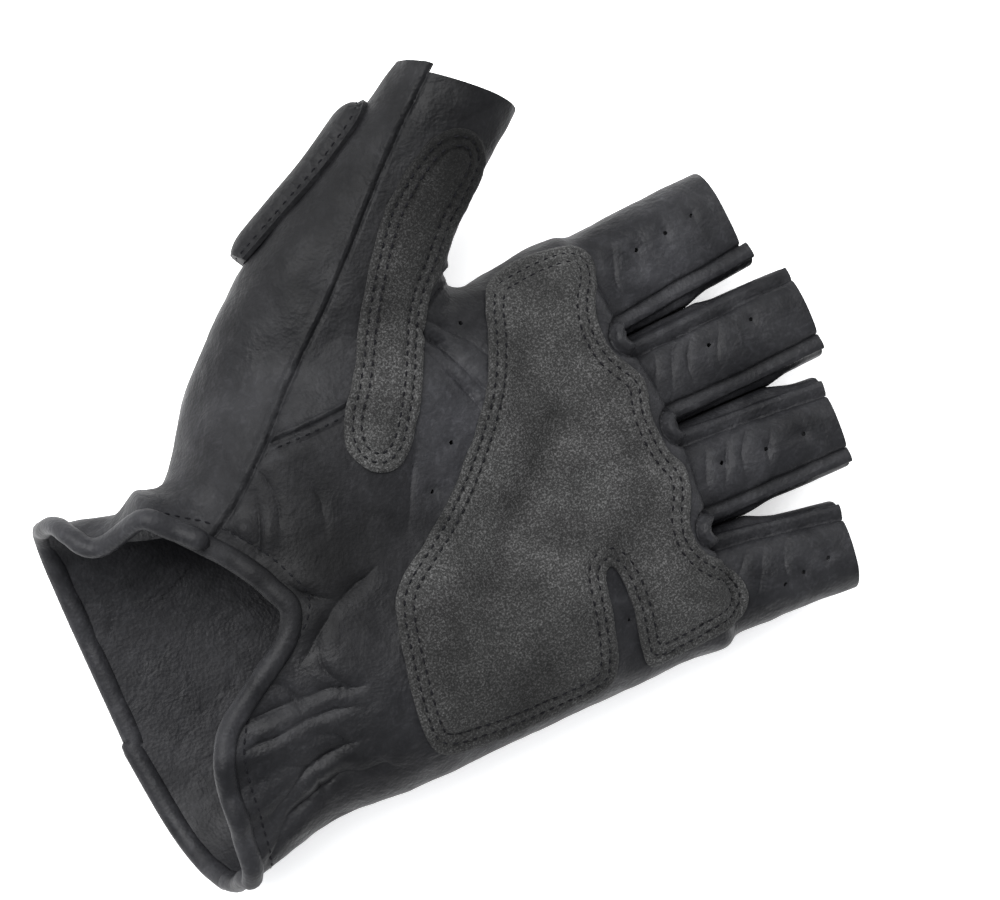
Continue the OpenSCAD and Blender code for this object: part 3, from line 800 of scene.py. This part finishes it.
def gap_relief(v, wall):
    """The turned edge between two fingers, and the strips' bellies, which close the gap's inner part."""
    x, y, z = v.T
    gap = which_gap(y)
    shut = ease(9, -5, own_stall(x, y)[0] - np.take(GAP_CLOSED, gap))
    off, beside = slot_place(x, y)
    winding = 0.5 * np.sin(0.6 * (z - STALL_Z)) * np.sign(beside)      # so that no straight slit stays open
    belly = np.clip(off - 0.2 - winding, 0, np.take(GAP_FILL, gap) + 2.4 * shut)
    d = 1.5 * bell(wall + 1.5, 1.2) - 1.4 * bell(wall - 0.3, 0.6)
    return d + belly * ease(-2.2, -4.5, wall) * (x > 50)


def seam_relief(v, f):
    """Grooves and turned edges of the side seams and the thumb's two seams, and dimples round the vents."""
    x, y, _ = v.T
    t, across = along_thumb(x, y), across_thumb(x, y)
    seam_here = (y < 0) | (x > 15) & ((y < 40) | (across < np.interp(t, [28, 80], [32, 22])))
    d = -0.5 * bell(f["side"], 0.8) * (f["wall"] > 30) * seam_here
    lip = f["side_seam"]
    gathered = 1 + 0.5 * noise(v, 2.6, 21)
    d += 0.55 * gathered * bell(lip + 1.2, 0.9) - 0.6 * bell(lip - 0.1, 0.4)
    low = f["low_seam"]
    shown = ease(-0.5, 0.5, np.minimum(f["thumb_patch"], 30)) * (lip > 1)
    d += shown * (0.7 * bell(low - 0.7, 0.7) - 0.6 * bell(low + 0.3, 0.5) - 0.3 * bell(low + 2.6, 0.7))
    return d - 0.6 * bell(f["vent"], 1.7)


def cuff_relief(v):
    """Waves of the cuff's edge, which die out towards the palm."""
    edge, angle = rim_x(v)
    into = v[:, 0] - edge
    turn = np.radians(angle)
    wave = noise(np.stack([52 * np.cos(turn), 52 * np.sin(turn), into * 0.12], 1), 9, 5)
    calm = 0.35 + 0.65 * ease(30, 55, angle) * ease(200, 165, angle)
    return calm * (1.7 * wave + 0.4) * np.exp(-np.maximum(into, 0) / 15) * (v[:, 0] < -20)


def relief(v, f, n):
    """How far the leather stands out from the smooth skin, from its seams, folds and wear."""
    up = ease(0.05, 0.45, n[:, 2])
    return worn_relief(v, f, up) + gap_relief(v, f["wall"]) + seam_relief(v, f) + cuff_relief(v)


# ---- meshes and materials ----


def make_object(name, v, t, normals, mat):
    """A mesh piece from millimetres, with a given normal at each corner of each triangle."""
    mesh = bpy.data.meshes.new(name)
    mesh.vertices.add(len(v))
    mesh.vertices.foreach_set("co", to_frame(v).astype(np.float32).ravel())
    mesh.loops.add(3 * len(t))
    mesh.loops.foreach_set("vertex_index", t.ravel().astype(np.int32))
    mesh.polygons.add(len(t))
    mesh.polygons.foreach_set("loop_start", np.arange(0, 3 * len(t), 3, dtype=np.int32))
    mesh.update(calc_edges=True)
    mesh.polygons.foreach_set("use_smooth", np.ones(len(t), bool))
    if normals is not None:
        mesh.normals_split_custom_set(normals.reshape(-1, 3).tolist())
    mesh.materials.append(mat)
    ob = bpy.data.objects.new(name, mesh)
    bpy.context.scene.collection.objects.link(ob)
    return ob


def shell(name, t, outer, inner, n_outer, n_inner, mat):
    """A closed piece between two layers of the same triangles, with a rim along their open edges."""
    used, t = np.unique(t, return_inverse=True)
    t = t.reshape(-1, 3)
    k = len(used)
    e = np.concatenate([t[:, [0, 1]], t[:, [1, 2]], t[:, [2, 0]]])
    code, back = e[:, 0] * k + e[:, 1], e[:, 1] * k + e[:, 0]
    rim = e[~np.isin(code, back)]
    a, b = rim.T
    sides = np.concatenate([np.stack([b, a, a + k], 1), np.stack([b, a + k, b + k], 1)])
    v = np.concatenate([outer[used], inner[used]])
    flat = unit(face_normals(v, sides))
    under = t[:, ::-1]
    normals = np.concatenate([n_outer[used][t], -n_inner[used][under], np.repeat(flat[:, None], 3, 1)])
    return make_object(name, v, np.concatenate([t, under + k, sides]), normals, mat)


class Nodes:
    """Short forms for building a material's node tree."""

    def __init__(self, name):
        self.mat = bpy.data.materials.new(name)
        self.mat.use_nodes = True
        self.tree = self.mat.node_tree
        self.shader = self.tree.nodes["Principled BSDF"]
        self.place = self.add("ShaderNodeTexCoord").outputs["Object"]

    def add(self, kind, **values):
        node = self.tree.nodes.new(kind)
        for key, value in values.items():
            setattr(node, key, value)
        return node

    def wire(self, out, socket):
        self.tree.links.new(out, socket)

    def noise(self, scale, detail=2.0, distortion=0.0, rough=0.55):
        node = self.add("ShaderNodeTexNoise")
        values = {"Scale": scale, "Detail": detail, "Distortion": distortion, "Roughness": rough}
        for key, value in values.items():
            node.inputs[key].default_value = value
        self.wire(self.place, node.inputs["Vector"])
        return node.outputs["Fac"]

    def cells(self, scale, feature="F1", place=None):
        node = self.add("ShaderNodeTexVoronoi", feature=feature)
        node.inputs["Scale"].default_value = scale
        self.wire(place or self.place, node.inputs["Vector"])
        return node.outputs["Distance"]

    def warped(self, scale, reach):
        """The glove's coordinates, pushed about by up to a reach."""
        push = self.add("ShaderNodeTexNoise")
        push.inputs["Scale"].default_value = scale
        self.wire(self.place, push.inputs["Vector"])
        far = self.add("ShaderNodeVectorMath", operation="SCALE")
        self.wire(push.outputs["Color"], far.inputs[0])
        far.inputs["Scale"].default_value = reach * MM
        total = self.add("ShaderNodeVectorMath", operation="ADD")
        self.wire(self.place, total.inputs[0])
        self.wire(far.outputs[0], total.inputs[1])
        return total.outputs[0]

    def ramp(self, value, *stops):
        node = self.add("ShaderNodeValToRGB")
        marks = node.color_ramp.elements
        while len(marks) < len(stops):
            marks.new(0.5)
        for mark, (at, color) in zip(marks, stops):
            mark.position = at
            mark.color = (*color, 1)
        self.wire(value, node.inputs["Fac"])
        return node.outputs["Color"]

    def grey(self, value, *stops):
        return self.ramp(value, *[(at, (g, g, g)) for at, g in stops])

    def bump(self, height, strength, distance, before=None):
        node = self.add("ShaderNodeBump")
        node.inputs["Strength"].default_value = strength
        node.inputs["Distance"].default_value = distance
        self.wire(height, node.inputs["Height"])
        if before is not None:
            self.wire(before, node.inputs["Normal"])
        return node.outputs["Normal"]

    def near(self, point, radius, peak):
        """A factor of 1 that goes to peak round a point of the glove."""
        away = self.add("ShaderNodeVectorMath", operation="DISTANCE")
        self.wire(self.place, away.inputs[0])
        away.inputs[1].default_value = to_frame(point)
        share = self.add("ShaderNodeMath", operation="DIVIDE")
        self.wire(away.outputs["Value"], share.inputs[0])
        share.inputs[1].default_value = radius * MM
        return self.grey(share.outputs[0], (0.0, peak), (1.0, 1.0))

    def times(self, a, b):
        """Two colours multiplied."""
        node = self.add("ShaderNodeMix", data_type="RGBA", blend_type="MULTIPLY")
        node.inputs["Factor"].default_value = 1.0
        self.wire(a, node.inputs[6])
        self.wire(b, node.inputs[7])
        return node.outputs[2]

    def plain(self, color, normal, rough):
        """Wires up a material that is equally rough all over, and gives it."""
        self.wire(color, self.shader.inputs["Base Color"])
        self.wire(normal, self.shader.inputs["Normal"])
        self.shader.inputs["Roughness"].default_value = rough
        return self.mat


# where the leather is painted lighter or darker, partly for rubbed wear and partly as painted light and
# shade: place, reach and brightness
WEAR_AND_PAINTED_LIGHT = [((4, 4, 38), 26, 2.2), ((66, 20, 30), 22, 1.7), ((64, -32, 30), 16, 1.6), ((-40, -12, 46), 42, 0.1),
        ((34, 72, 60), 16, 0.55), ((-55, -60, 40), 26, 0.5), ((10, 62, 34), 70, 0.2)]

# where it has lost its shine: place, reach and roughness
DULLED = [((10, 62, 34), 60, 1.2), ((-36, 0, 46), 40, 1.35)]
LEATHER_COLORS = ((0.006, 0.0061, 0.0071), (0.018, 0.0181, 0.02))


def leather_material(name, shade=1.0, creased=0.45):
    """Soft, worn goat leather: near black, with a fine pebbled grain, paler where it is rubbed, and with
    painted light and shade in spots.
    """
    m = Nodes(name)
    dark, light = ([shade * part for part in color] for color in LEATHER_COLORS)
    tone = m.ramp(m.noise(70, 5, 0.6), (0.32, dark), (0.68, light))
    scuff = m.grey(m.noise(420, 4, 1.5), (0.5, 1.0), (0.78, 1.7))
    tone = m.times(tone, scuff)
    # spots of painted light and shade, and of rubbed wear, on the leather's colour
    for place in WEAR_AND_PAINTED_LIGHT:
        tone = m.times(tone, m.near(*place))
    m.wire(tone, m.shader.inputs["Base Color"])
    rough = m.grey(m.noise(110, 5), (0.3, 0.42), (0.7, 0.6))
    for place in DULLED:
        rough = m.times(rough, m.near(*place))
    m.wire(rough, m.shader.inputs["Roughness"])
    wrinkle = m.bump(m.noise(130, 5, 0.9), creased, 0.0011)
    lines = m.grey(m.cells(170, "DISTANCE_TO_EDGE", m.warped(150, 9)), (0.0, 0.0), (0.1, 0.75), (0.5, 1.0))
    crinkled = m.times(lines, m.grey(m.noise(24, 2), (0.48, 0.0), (0.66, 1.0)))
    folds = m.bump(crinkled, 0.16 * creased, 0.001, wrinkle)
    cracks = m.bump(m.cells(330, "DISTANCE_TO_EDGE"), 0.18, 0.0005, folds)
    grain = m.bump(m.cells(1150), 0.3, 0.00024, cracks)
    fine = m.bump(m.noise(2400, 2), 0.2, 0.00012, grain)
    m.wire(fine, m.shader.inputs["Normal"])
    m.shader.inputs["Specular IOR Level"].default_value = 0.145
    return m.mat


PALE_SUEDE = ((-18, 6, 60), 22, 1.35)      # the thumb patch's lower end: place, reach and brightness


def suede_material(name, point, radius, peak):
    """Brushed grey grip suede with a granular nap, painted darker or lighter round one point; on the thumb's
    patch that is painted shade as well as wear.
    """
    m = Nodes(name)
    tone = m.ramp(m.noise(2100, 3, 0.0, 0.7), (0.3, (0.01, 0.01, 0.01)), (0.5, (0.024, 0.024, 0.0237)),
                  (0.7, (0.09, 0.09, 0.0893)))
    tone = m.times(tone, m.grey(m.noise(75, 4), (0.3, 0.55), (0.7, 1.4)))
    tone = m.times(tone, m.near(point, radius, peak))
    m.wire(m.times(tone, m.near(*PALE_SUEDE)), m.shader.inputs["Base Color"])
    m.wire(m.bump(m.noise(2100, 3, 0.0, 0.7), 0.8, 0.0005), m.shader.inputs["Normal"])
    m.wire(m.grey(m.noise(300, 3), (0.3, 0.85), (0.7, 1.0)), m.shader.inputs["Roughness"])
    m.shader.inputs["Sheen Weight"].default_value = 0.02
    m.shader.inputs["Specular IOR Level"].default_value = 0.2
    return m.mat


def thread_material():
    m = Nodes("thread")
    color = m.ramp(m.noise(3000, 2), (0.3, (0.004, 0.004, 0.005)), (0.7, (0.012, 0.012, 0.014)))
    m.shader.inputs["Specular IOR Level"].default_value = 0.06
    return m.plain(color, m.bump(m.noise(4200, 2), 0.6, 0.0002), 0.85)


def elastic_material():
    m = Nodes("elastic")
    color = m.ramp(m.noise(1800, 2), (0.3, (0.012, 0.012, 0.012)), (0.7, (0.035, 0.035, 0.036)))
    return m.plain(color, m.bump(m.noise(1600, 2), 0.7, 0.0003), 0.9)


def foam_material():
    m = Nodes("foam")
    color = m.ramp(m.cells(900), (0.1, (0.12, 0.12, 0.13)), (0.6, (0.3, 0.3, 0.31)))
    return m.plain(color, m.bump(m.cells(1400), 0.5, 0.0004), 0.95)


# ---- which body each piece goes with ----


def finish_piece(ob, where, slot, *nodes):
    """Fixes a hand piece to the hand's body, bakes any other piece's place into its mesh, and hides the CAD
    nodes it stands for; the slot it is given is not used.
    """
    if where == "hand":
        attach(ob, "hand")
    elif where == "thumb":
        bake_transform(ob)
    else:
        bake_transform(ob)
    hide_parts(*[n for n in nodes if n in frame["nodes"]])
    return ob


# ---- the leather panels ----

LEATHER_T = 1.4       # depth of the leather's inner face below the smooth skin
THIN = 0.9            # thickness it keeps in the deepest folds
# CAD nodes that belong to the same panel as the node of the panel's own name
OTHER_NODES = {"thumb_front": "thumb_base_front", "back_leather": "thumb_base_back"}


def panel_masks(v, t, f):
    """Which triangles belong to each leather panel."""
    m = {n: a[t].mean(1) for n, a in f.items()}
    x, y, z = v[t].mean(1).T
    _, across, _, which = own_stall(x, y)
    gap = in_gap(x, y) < 0
    finger = m["finger"] > 0
    wall = m["wall"] < 0
    front = np.where(gap & (x > 44), z > STALL_Z, m["side"] > 0)
    kept = (m["cuff"] > 0) & (m["vent"] > VENT_R)
    short = kept & (m["stall_end"] < 0)
    long = kept & (m["stall_end"] < np.where(which == 0, WALL_EXTRA, WALL_MORE))
    masks = {}
    for k, name in enumerate(FINGERS):
        own = finger & (which == k)
        masks[name + "_front"] = own & ~wall & front & short
        masks[name + "_back"] = own & ~wall & ~front & short
        masks[name + "_inner_wall"] = own & wall & (across < 0) & long
        masks[name + "_outer_wall"] = own & wall & (across > 0) & long
    for k, name in enumerate(("web_index_middle", "web_middle_ring", "web_ring_little")):
        masks[name] = ~finger & wall & kept & (which_gap(y) == k)
    hand = kept & ~finger & ~wall
    on_thumb = thumb_side(x, y)
    thumb_front = hand & (m["side_seam"] > 0) & (m["low_seam"] > 0) & (m["side"] > 0) & (x > -42)
    backs = hand & ~thumb_front & ((m["side_seam"] < 0) | ~front)
    masks["thumb_front"] = thumb_front & (m["thumb_end"] < 0)
    masks["thumb_back"] = backs & on_thumb & (m["thumb"] > 0) & (m["thumb_end"] < THUMB_LIP)
    masks["back_leather"] = backs & ~(on_thumb & (m["thumb"] > 0))
    masks["palm_leather"] = hand & ~thumb_front & ~backs
    return {n: a for n, a in masks.items() if a.sum() > 30}


def make_panels(skin, masks, mats):
    """Every leather panel as a closed shell, by name."""
    _, t, _, top, inside, n_top, n_in = skin
    made = {}
    for name, mask in masks.items():
        ob = shell(name, t[mask], top, inside, n_top, n_in, mats["leather"])
        where = name.split("_")[0]
        where = where if where in FINGERS + ("thumb",) else "hand"
        made[name] = finish_piece(ob, where, "leather", name, OTHER_NODES.get(name))
    return made


# ---- patches, pads and stitches ----

PATCH_T = 1.15
PATCH_ROWS = (2.1, 4.3)       # a patch is pressed in this far inside its edge, where its stitches run


def patch_piece(skin, name, mats):
    """A suede patch on the leather, thinner at its cut edge, pressed in along its stitch rows."""
    v, t, f, top, _, _, n_in = skin
    d = f[name]
    mask = d[t].mean(1) < 0
    pucker = 1 + 0.6 * noise(v, 3.2, 8)
    rows = sum(bell(d + row, 0.6) for row in PATCH_ROWS)
    high = PATCH_T * (0.55 + 0.45 * ease(0.1, -0.9, d)) - 0.55 * pucker * rows + 0.15 * noise(v, 2.2, 9)
    outer = top + n_in * high[:, None]
    normals = mesh_normals(outer, t[mask])
    mat = mats["suede_thumb" if name == "thumb_patch" else "suede"]
    return shell(name, t[mask], outer, top + 0.03 * n_in, normals, n_in, mat)


PAD_FLAT = 0.9        # width of a pad's flat edge
PAD_COVER_T = 1.1


def pad_pieces(skin, name, field, height, mask, mats, edge):
    """A leather cover over a foam core, domed from a flat stitched edge, and the row its stitches follow."""
    v, t, f, _, _, _, n_in = skin
    d = f[field]
    inside = mask & (d[t].mean(1) < 0)
    share = np.clip((-PAD_FLAT - d) / (edge - PAD_FLAT), 0, 1)
    dome = np.sqrt(1 - (1 - share) ** 2)
    edge_row = 0.35 * bell(d + 0.4, 0.4) - 0.3 * bell(d + STITCH_IN, 0.4)
    high = PAD_COVER_T + (height - PAD_COVER_T) * dome + edge_row
    outer = v + n_in * high[:, None]
    lower = v + n_in * np.maximum(high - PAD_COVER_T, 0.05)[:, None]
    normals = mesh_normals(outer, t[inside])
    cover = shell(name + "_cover", t[inside], outer, lower, normals, n_in, mats["leather"])
    core = inside & (d[t].max(1) < -1.5)
    foam_top = v + n_in * np.maximum(high - PAD_COVER_T - 0.15, 0.15)[:, None]
    foam = shell(name + "_foam", t[core], foam_top, v + 0.05 * n_in, n_in, n_in, mats["foam"])
    return cover, foam, around(outer, n_in, np.unique(t[inside]), d)


def around(places, normals, chosen, d):
    """The chosen corners at the stitches' depth, in order round the pad: places and normals."""
    on = chosen[np.abs(d[chosen] + STITCH_IN) < 0.06]
    away = places[on] - places[on].mean(0)
    _, _, axes = np.linalg.svd(away, full_matrices=False)
    flat = away @ axes[:2].T
    order = on[np.argsort(np.arctan2(flat[:, 1] / np.ptp(flat[:, 1]), flat[:, 0] / np.ptp(flat[:, 0])))]
    order = np.append(order, order[0])
    return places[order], normals[order]


def inset(outline, distance, step=0.5):
    """Points at one distance inside a closed outline, without those that come too near another part of it."""
    around_it = np.vstack([outline, outline[:1]])
    run = run_length(around_it)
    p = resampled(np.arange(0, run[-1], step), run, around_it)
    ahead = unit(np.roll(p, -1, 0) - np.roll(p, 1, 0))
    area = (outline[:, 0] * np.roll(outline[:, 1], -1) - outline[:, 1] * np.roll(outline[:, 0], -1)).sum()
    turn = 1 if area > 0 else -1
    q = p + distance * turn * np.stack([-ahead[:, 1], ahead[:, 0]], 1)
    gap, sign, _ = line_distance(q[:, 0], q[:, 1], outline, closed=True)
    return q[(sign < 0) & (gap > abs(distance) - 0.15)]


ABOVE_ALL = 90.0      # a height over the whole glove
STITCH_GAP = 2.5      # points farther apart than this belong to separate rows


def stitches_along(points, pitch, length):
    """Pairs of stitch ends, evenly spaced along a row of points; gaps in the row are left open."""
    pairs, run, start = [], 0.0, points[0]
    for a, b in zip(points[:-1], points[1:]):
        step = np.linalg.norm(b - a)
        run += step
        if step > STITCH_GAP:
            run, start = 0.0, b
        elif run >= pitch:
            ahead = (b - start) / max(np.linalg.norm(b - start), 1e-6)
            pairs.append((start, start + ahead * length))
            run, start = 0.0, b
    return pairs


def thread_object(name, ends, thick, mat):
    """Short rounded stitches from pairs of ends, each with the normal of the surface it lies on."""
    verts, tris = [], []
    rings, sides = 5, 6
    turn = 2 * np.pi * np.arange(sides)[:, None] / sides
    for a, b, n in ends:
        length = np.linalg.norm(b - a)
        ahead = (b - a) / length
        n = n - (n @ ahead) * ahead
        n = n / np.linalg.norm(n)
        circle = np.cos(turn) * np.cross(ahead, n) + np.sin(turn) * n
        base = sum(len(x) for x in verts)
        ring = []
        for i in range(rings):
            u = i / (rings - 1)
            fat = thick / 2 * math.sqrt(max(0.06, 1 - (2 * u - 1) ** 4))
            lift = thick * (0.5 * math.sin(math.pi * u) - 0.22)
            ring.append(a + ahead * length * u + n * lift + fat * circle)
        verts.append(np.concatenate(ring + [[ring[0].mean(0)], [ring[-1].mean(0)]]))
        for i in range(rings - 1):
            for j in range(sides):
                p, q = base + i * sides + j, base + i * sides + (j + 1) % sides
                tris += [(p, q, q + sides), (p, q + sides, p + sides)]
        last = base + (rings - 1) * sides
        for j in range(sides):
            tris.append((base + rings * sides, base + (j + 1) % sides, base + j))
            tris.append((base + rings * sides + 1, last + j, last + (j + 1) % sides))
    return make_object(name, np.concatenate(verts), np.array(tris), None, mat)


def landed(points, ob):
    """Points in the plane dropped on a piece: places and normals in millimetres; misses are left out."""
    found = []
    for x, y in points:
        hit, place, normal, _ = ob.ray_cast(Vector(to_frame([x, y, ABOVE_ALL])), Vector((0, 0, -1)))
        if hit:
            found.append((np.array(place) / MM - DATUM, np.array(normal)))
    return tuple(np.array(part) for part in zip(*found))


def stitched(name, rows, mat, pitch=2.3, length=1.55, thick=0.48):
    """Stitches along rows of places with normals."""
    ends = []
    for places, normals in rows:
        for a, b in stitches_along(places, pitch, length):
            k = np.linalg.norm(places - a, axis=1).argmin()
            ends.append((a, b, normals[k]))
    return thread_object(name, ends, thick, mat)


# ---- cuff ----


def rim_point(angle, inward=0.0):
    """The skin's point at an angle round the wrist, some way in from the cuff's edge."""
    a = np.radians(angle)
    x = smooth_table(angle, RIM) + inward
    mid, middle, half, half_tall = hand_section(x)
    near, far = np.full(x.shape, 0.3), np.full(x.shape, 1.9)
    for _ in range(24):                    # halves the stretch in which the skin is met
        r = (near + far) / 2
        y = mid + r * half * np.cos(a)
        z = middle + r * half_tall * np.sin(a)
        out = glove_distance(x, y, z) > 0
        near, far = np.where(out, near, r), np.where(out, r, far)
    return np.stack([x, y, z], 1)


TUBE_END = 4.0        # a rolled strip's round end takes this many points of its path


def tube(name, path, normals, thick, wide, mat, sides=14):
    """A rolled strip swept along a path, thick along the normals and wide across them, with round ends."""
    ahead = unit(np.gradient(path, axis=0))
    n = unit(normals - (normals * ahead).sum(1)[:, None] * ahead)
    across = np.cross(ahead, n)
    turn = 2 * np.pi * np.arange(sides)[None, :, None] / sides
    from_end = np.minimum(np.arange(len(path)) / TUBE_END, 1)
    size = np.sqrt(np.clip(1 - (1 - from_end) ** 2, 0.02, 1))
    size = np.minimum(size, size[::-1])
    ring = (np.cos(turn) * across[:, None] * wide + np.sin(turn) * n[:, None] * thick) / 2
    v = (path[:, None] + ring * size[:, None, None]).reshape(-1, 3)
    v = np.vstack([v, path[:1], path[-1:]])
    i, j = np.meshgrid(np.arange(len(path) - 1), np.arange(sides), indexing="ij")
    a, b = (i * sides + j).ravel(), (i * sides + (j + 1) % sides).ravel()
    t = np.concatenate([np.stack([a, b, b + sides], 1), np.stack([a, b + sides, a + sides], 1)])
    j = np.arange(sides)
    last = (len(path) - 1) * sides
    caps = [np.stack([0 * j + len(v) - 2, (j + 1) % sides, j], 1),
            np.stack([0 * j + len(v) - 1, last + j, last + (j + 1) % sides], 1)]
    return make_object(name, v, np.concatenate([t] + caps), None, mat)


def make_binding(mats):
    """The rolled binding of the cuff's edge, whose end overlaps its start on the thumb's side."""
    angle = np.linspace(45, 45 + 372, 330)
    angle = np.where(angle > RIM[-1][0], angle - 360, angle)
    p = rim_point(angle)
    n = unit(slopes(p))
    share = np.linspace(0, 1, len(p))
    lift = relief(p, fields(p), n) - 0.4 + 2.2 * ease(0.967, 0.99, share)
    p = p + n * lift[:, None]
    p[:, 0] -= 0.4
    ob = tube("cuff_binding", p, n, 4.4, 5.2, mats["binding"])
    finish_piece(ob, "hand", "binding", "cuff_binding")


def make_cuff_thread(mats):
    """A row of stitches beside the binding."""
    p = rim_point(np.linspace(40, 175, 700), 4.6)
    n = unit(slopes(p))
    row = (p + n * relief(p, fields(p), n)[:, None], n)
    finish_piece(stitched("cuff_thread", [row], mats["thread"], 2.3, 1.6, 0.42), "hand", "thread")


def make_elastic(skin, palm_leather, mats):
    """The elastic strip inside the wrist."""
    v, t, _, _, inside, _, n_in = skin
    edge, angle = rim_x(v)
    into = v[:, 0] - edge
    band = (angle > 64) & (angle < 150) & (into > 14) & (into < 22) & (v[:, 2] > 20)
    chosen = t[band[t].all(1) & palm_leather]
    top, under = inside - 0.15 * n_in, inside - 1.15 * n_in
    ob = shell("wrist_elastic", chosen, top, under, n_in, n_in, mats["elastic"])
    finish_piece(ob, "hand", "elastic", "wrist_elastic")


# ---- all of it ----


def make_patches(skin, mats):
    """The suede patches of the palm and of the thumb."""
    palm = patch_piece(skin, "palm_patch", mats)
    finish_piece(palm, "hand", "suede", "palm_patch")
    thumb = patch_piece(skin, "thumb_patch", mats)
    finish_piece(thumb, "thumb", "suede", "thumb_patch_lower", "thumb_patch_upper")
    return palm, thumb


def make_patch_threads(palm, thumb, mats):
    """Two rows of stitches inside each patch's edge."""
    jobs = ((palm, "palm_patch_thread", "hand", PALM_PATCH, (2.0, 4.2)),
            (thumb, "thumb_patch_thread", "thumb", THUMB_PATCH, (1.9, 3.9)))
    for patch, name, where, outline, rows in jobs:
        thread = stitched(name, [landed(inset(outline, far), patch) for far in rows], mats["thread"])
        finish_piece(thread, where, "thread", name)


def make_low_seam_thread(palm_leather, mats):
    """Stitches beside the seam below the thumb."""
    places, normals = landed(LOW_SEAM[2:-4] - (0, 1.7), palm_leather)
    run = run_length(places)
    at = np.arange(0, run[-1], 0.4)
    row = (resampled(at, run, places), resampled(at, run, normals))
    finish_piece(stitched("low_seam_thread", [row], mats["thread"], 2.0, 1.3, 0.4), "hand", "thread")


def make_pads(skin, masks, mats):
    """Every pad as a cover, its foam core and its stitches."""
    # name, body, outline, height, leather below it, width of its sloping edge
    jobs = [("back_pad", "hand", "back_pad", 4.9, masks["back_leather"] | masks["palm_leather"], 3.6),
            ("thumb_pad", "thumb", "thumb_pad", 4.9, masks["thumb_back"] | masks["back_leather"], 7.0)]
    jobs += [(name + "_pad", name, "finger_pad", 4.0, masks[name + "_back"], 2.6) for name in FINGERS]
    for name, where, field, high, mask, edge in jobs:
        cover, foam, row = pad_pieces(skin, name, field, high, mask, mats, edge)
        finish_piece(cover, where, "leather", name + "_cover")
        finish_piece(foam, where, "foam", name + "_foam")
        thread = stitched(name + "_thread", [row], mats["thread"], 2.3, 1.5, 0.42)
        finish_piece(thread, where, "thread", name + "_thread")


def make_glove():
    """Meshes the skin and makes every piece from it."""
    # the binding is the same leather painted 1.3 times lighter, partly a painted highlight for the light its
    # upper side catches
    mats = {"leather": leather_material("leather"), "binding": leather_material("binding", 1.3, 0.12),
            "suede": suede_material("suede", (-12, -58, 40), 36, 0.45),
            # the thumb patch is painted nearly black round its far part: painted shade where it faces away
            # from the light, and wear
            "suede_thumb": suede_material("suede_thumb", (29, 60, 60), 46, 0.05),
            "thread": thread_material(), "elastic": elastic_material(), "foam": foam_material()}
    v, t, f = skin_mesh()
    n_in = unit(slopes(v))
    masks = panel_masks(v, t, f)
    stands = relief(v, f, n_in)
    top = v + n_in * stands[:, None]
    inside = v + n_in * np.minimum(stands - THIN, -LEATHER_T)[:, None]
    shown = np.any(list(masks.values()), axis=0)
    n_top = mesh_normals(top, t[shown])
    skin = (v, t, f, top, inside, n_top, n_in)
    panels = make_panels(skin, masks, mats)
    palm, thumb = make_patches(skin, mats)
    make_pads(skin, masks, mats)
    bpy.context.view_layer.update()         # stitches are dropped on the finished pieces
    make_patch_threads(palm, thumb, mats)
    make_low_seam_thread(panels["palm_leather"], mats)
    make_cuff_thread(mats)
    make_binding(mats)
    make_elastic(skin, masks["palm_leather"], mats)


make_camera()
make_stage()
make_glove()
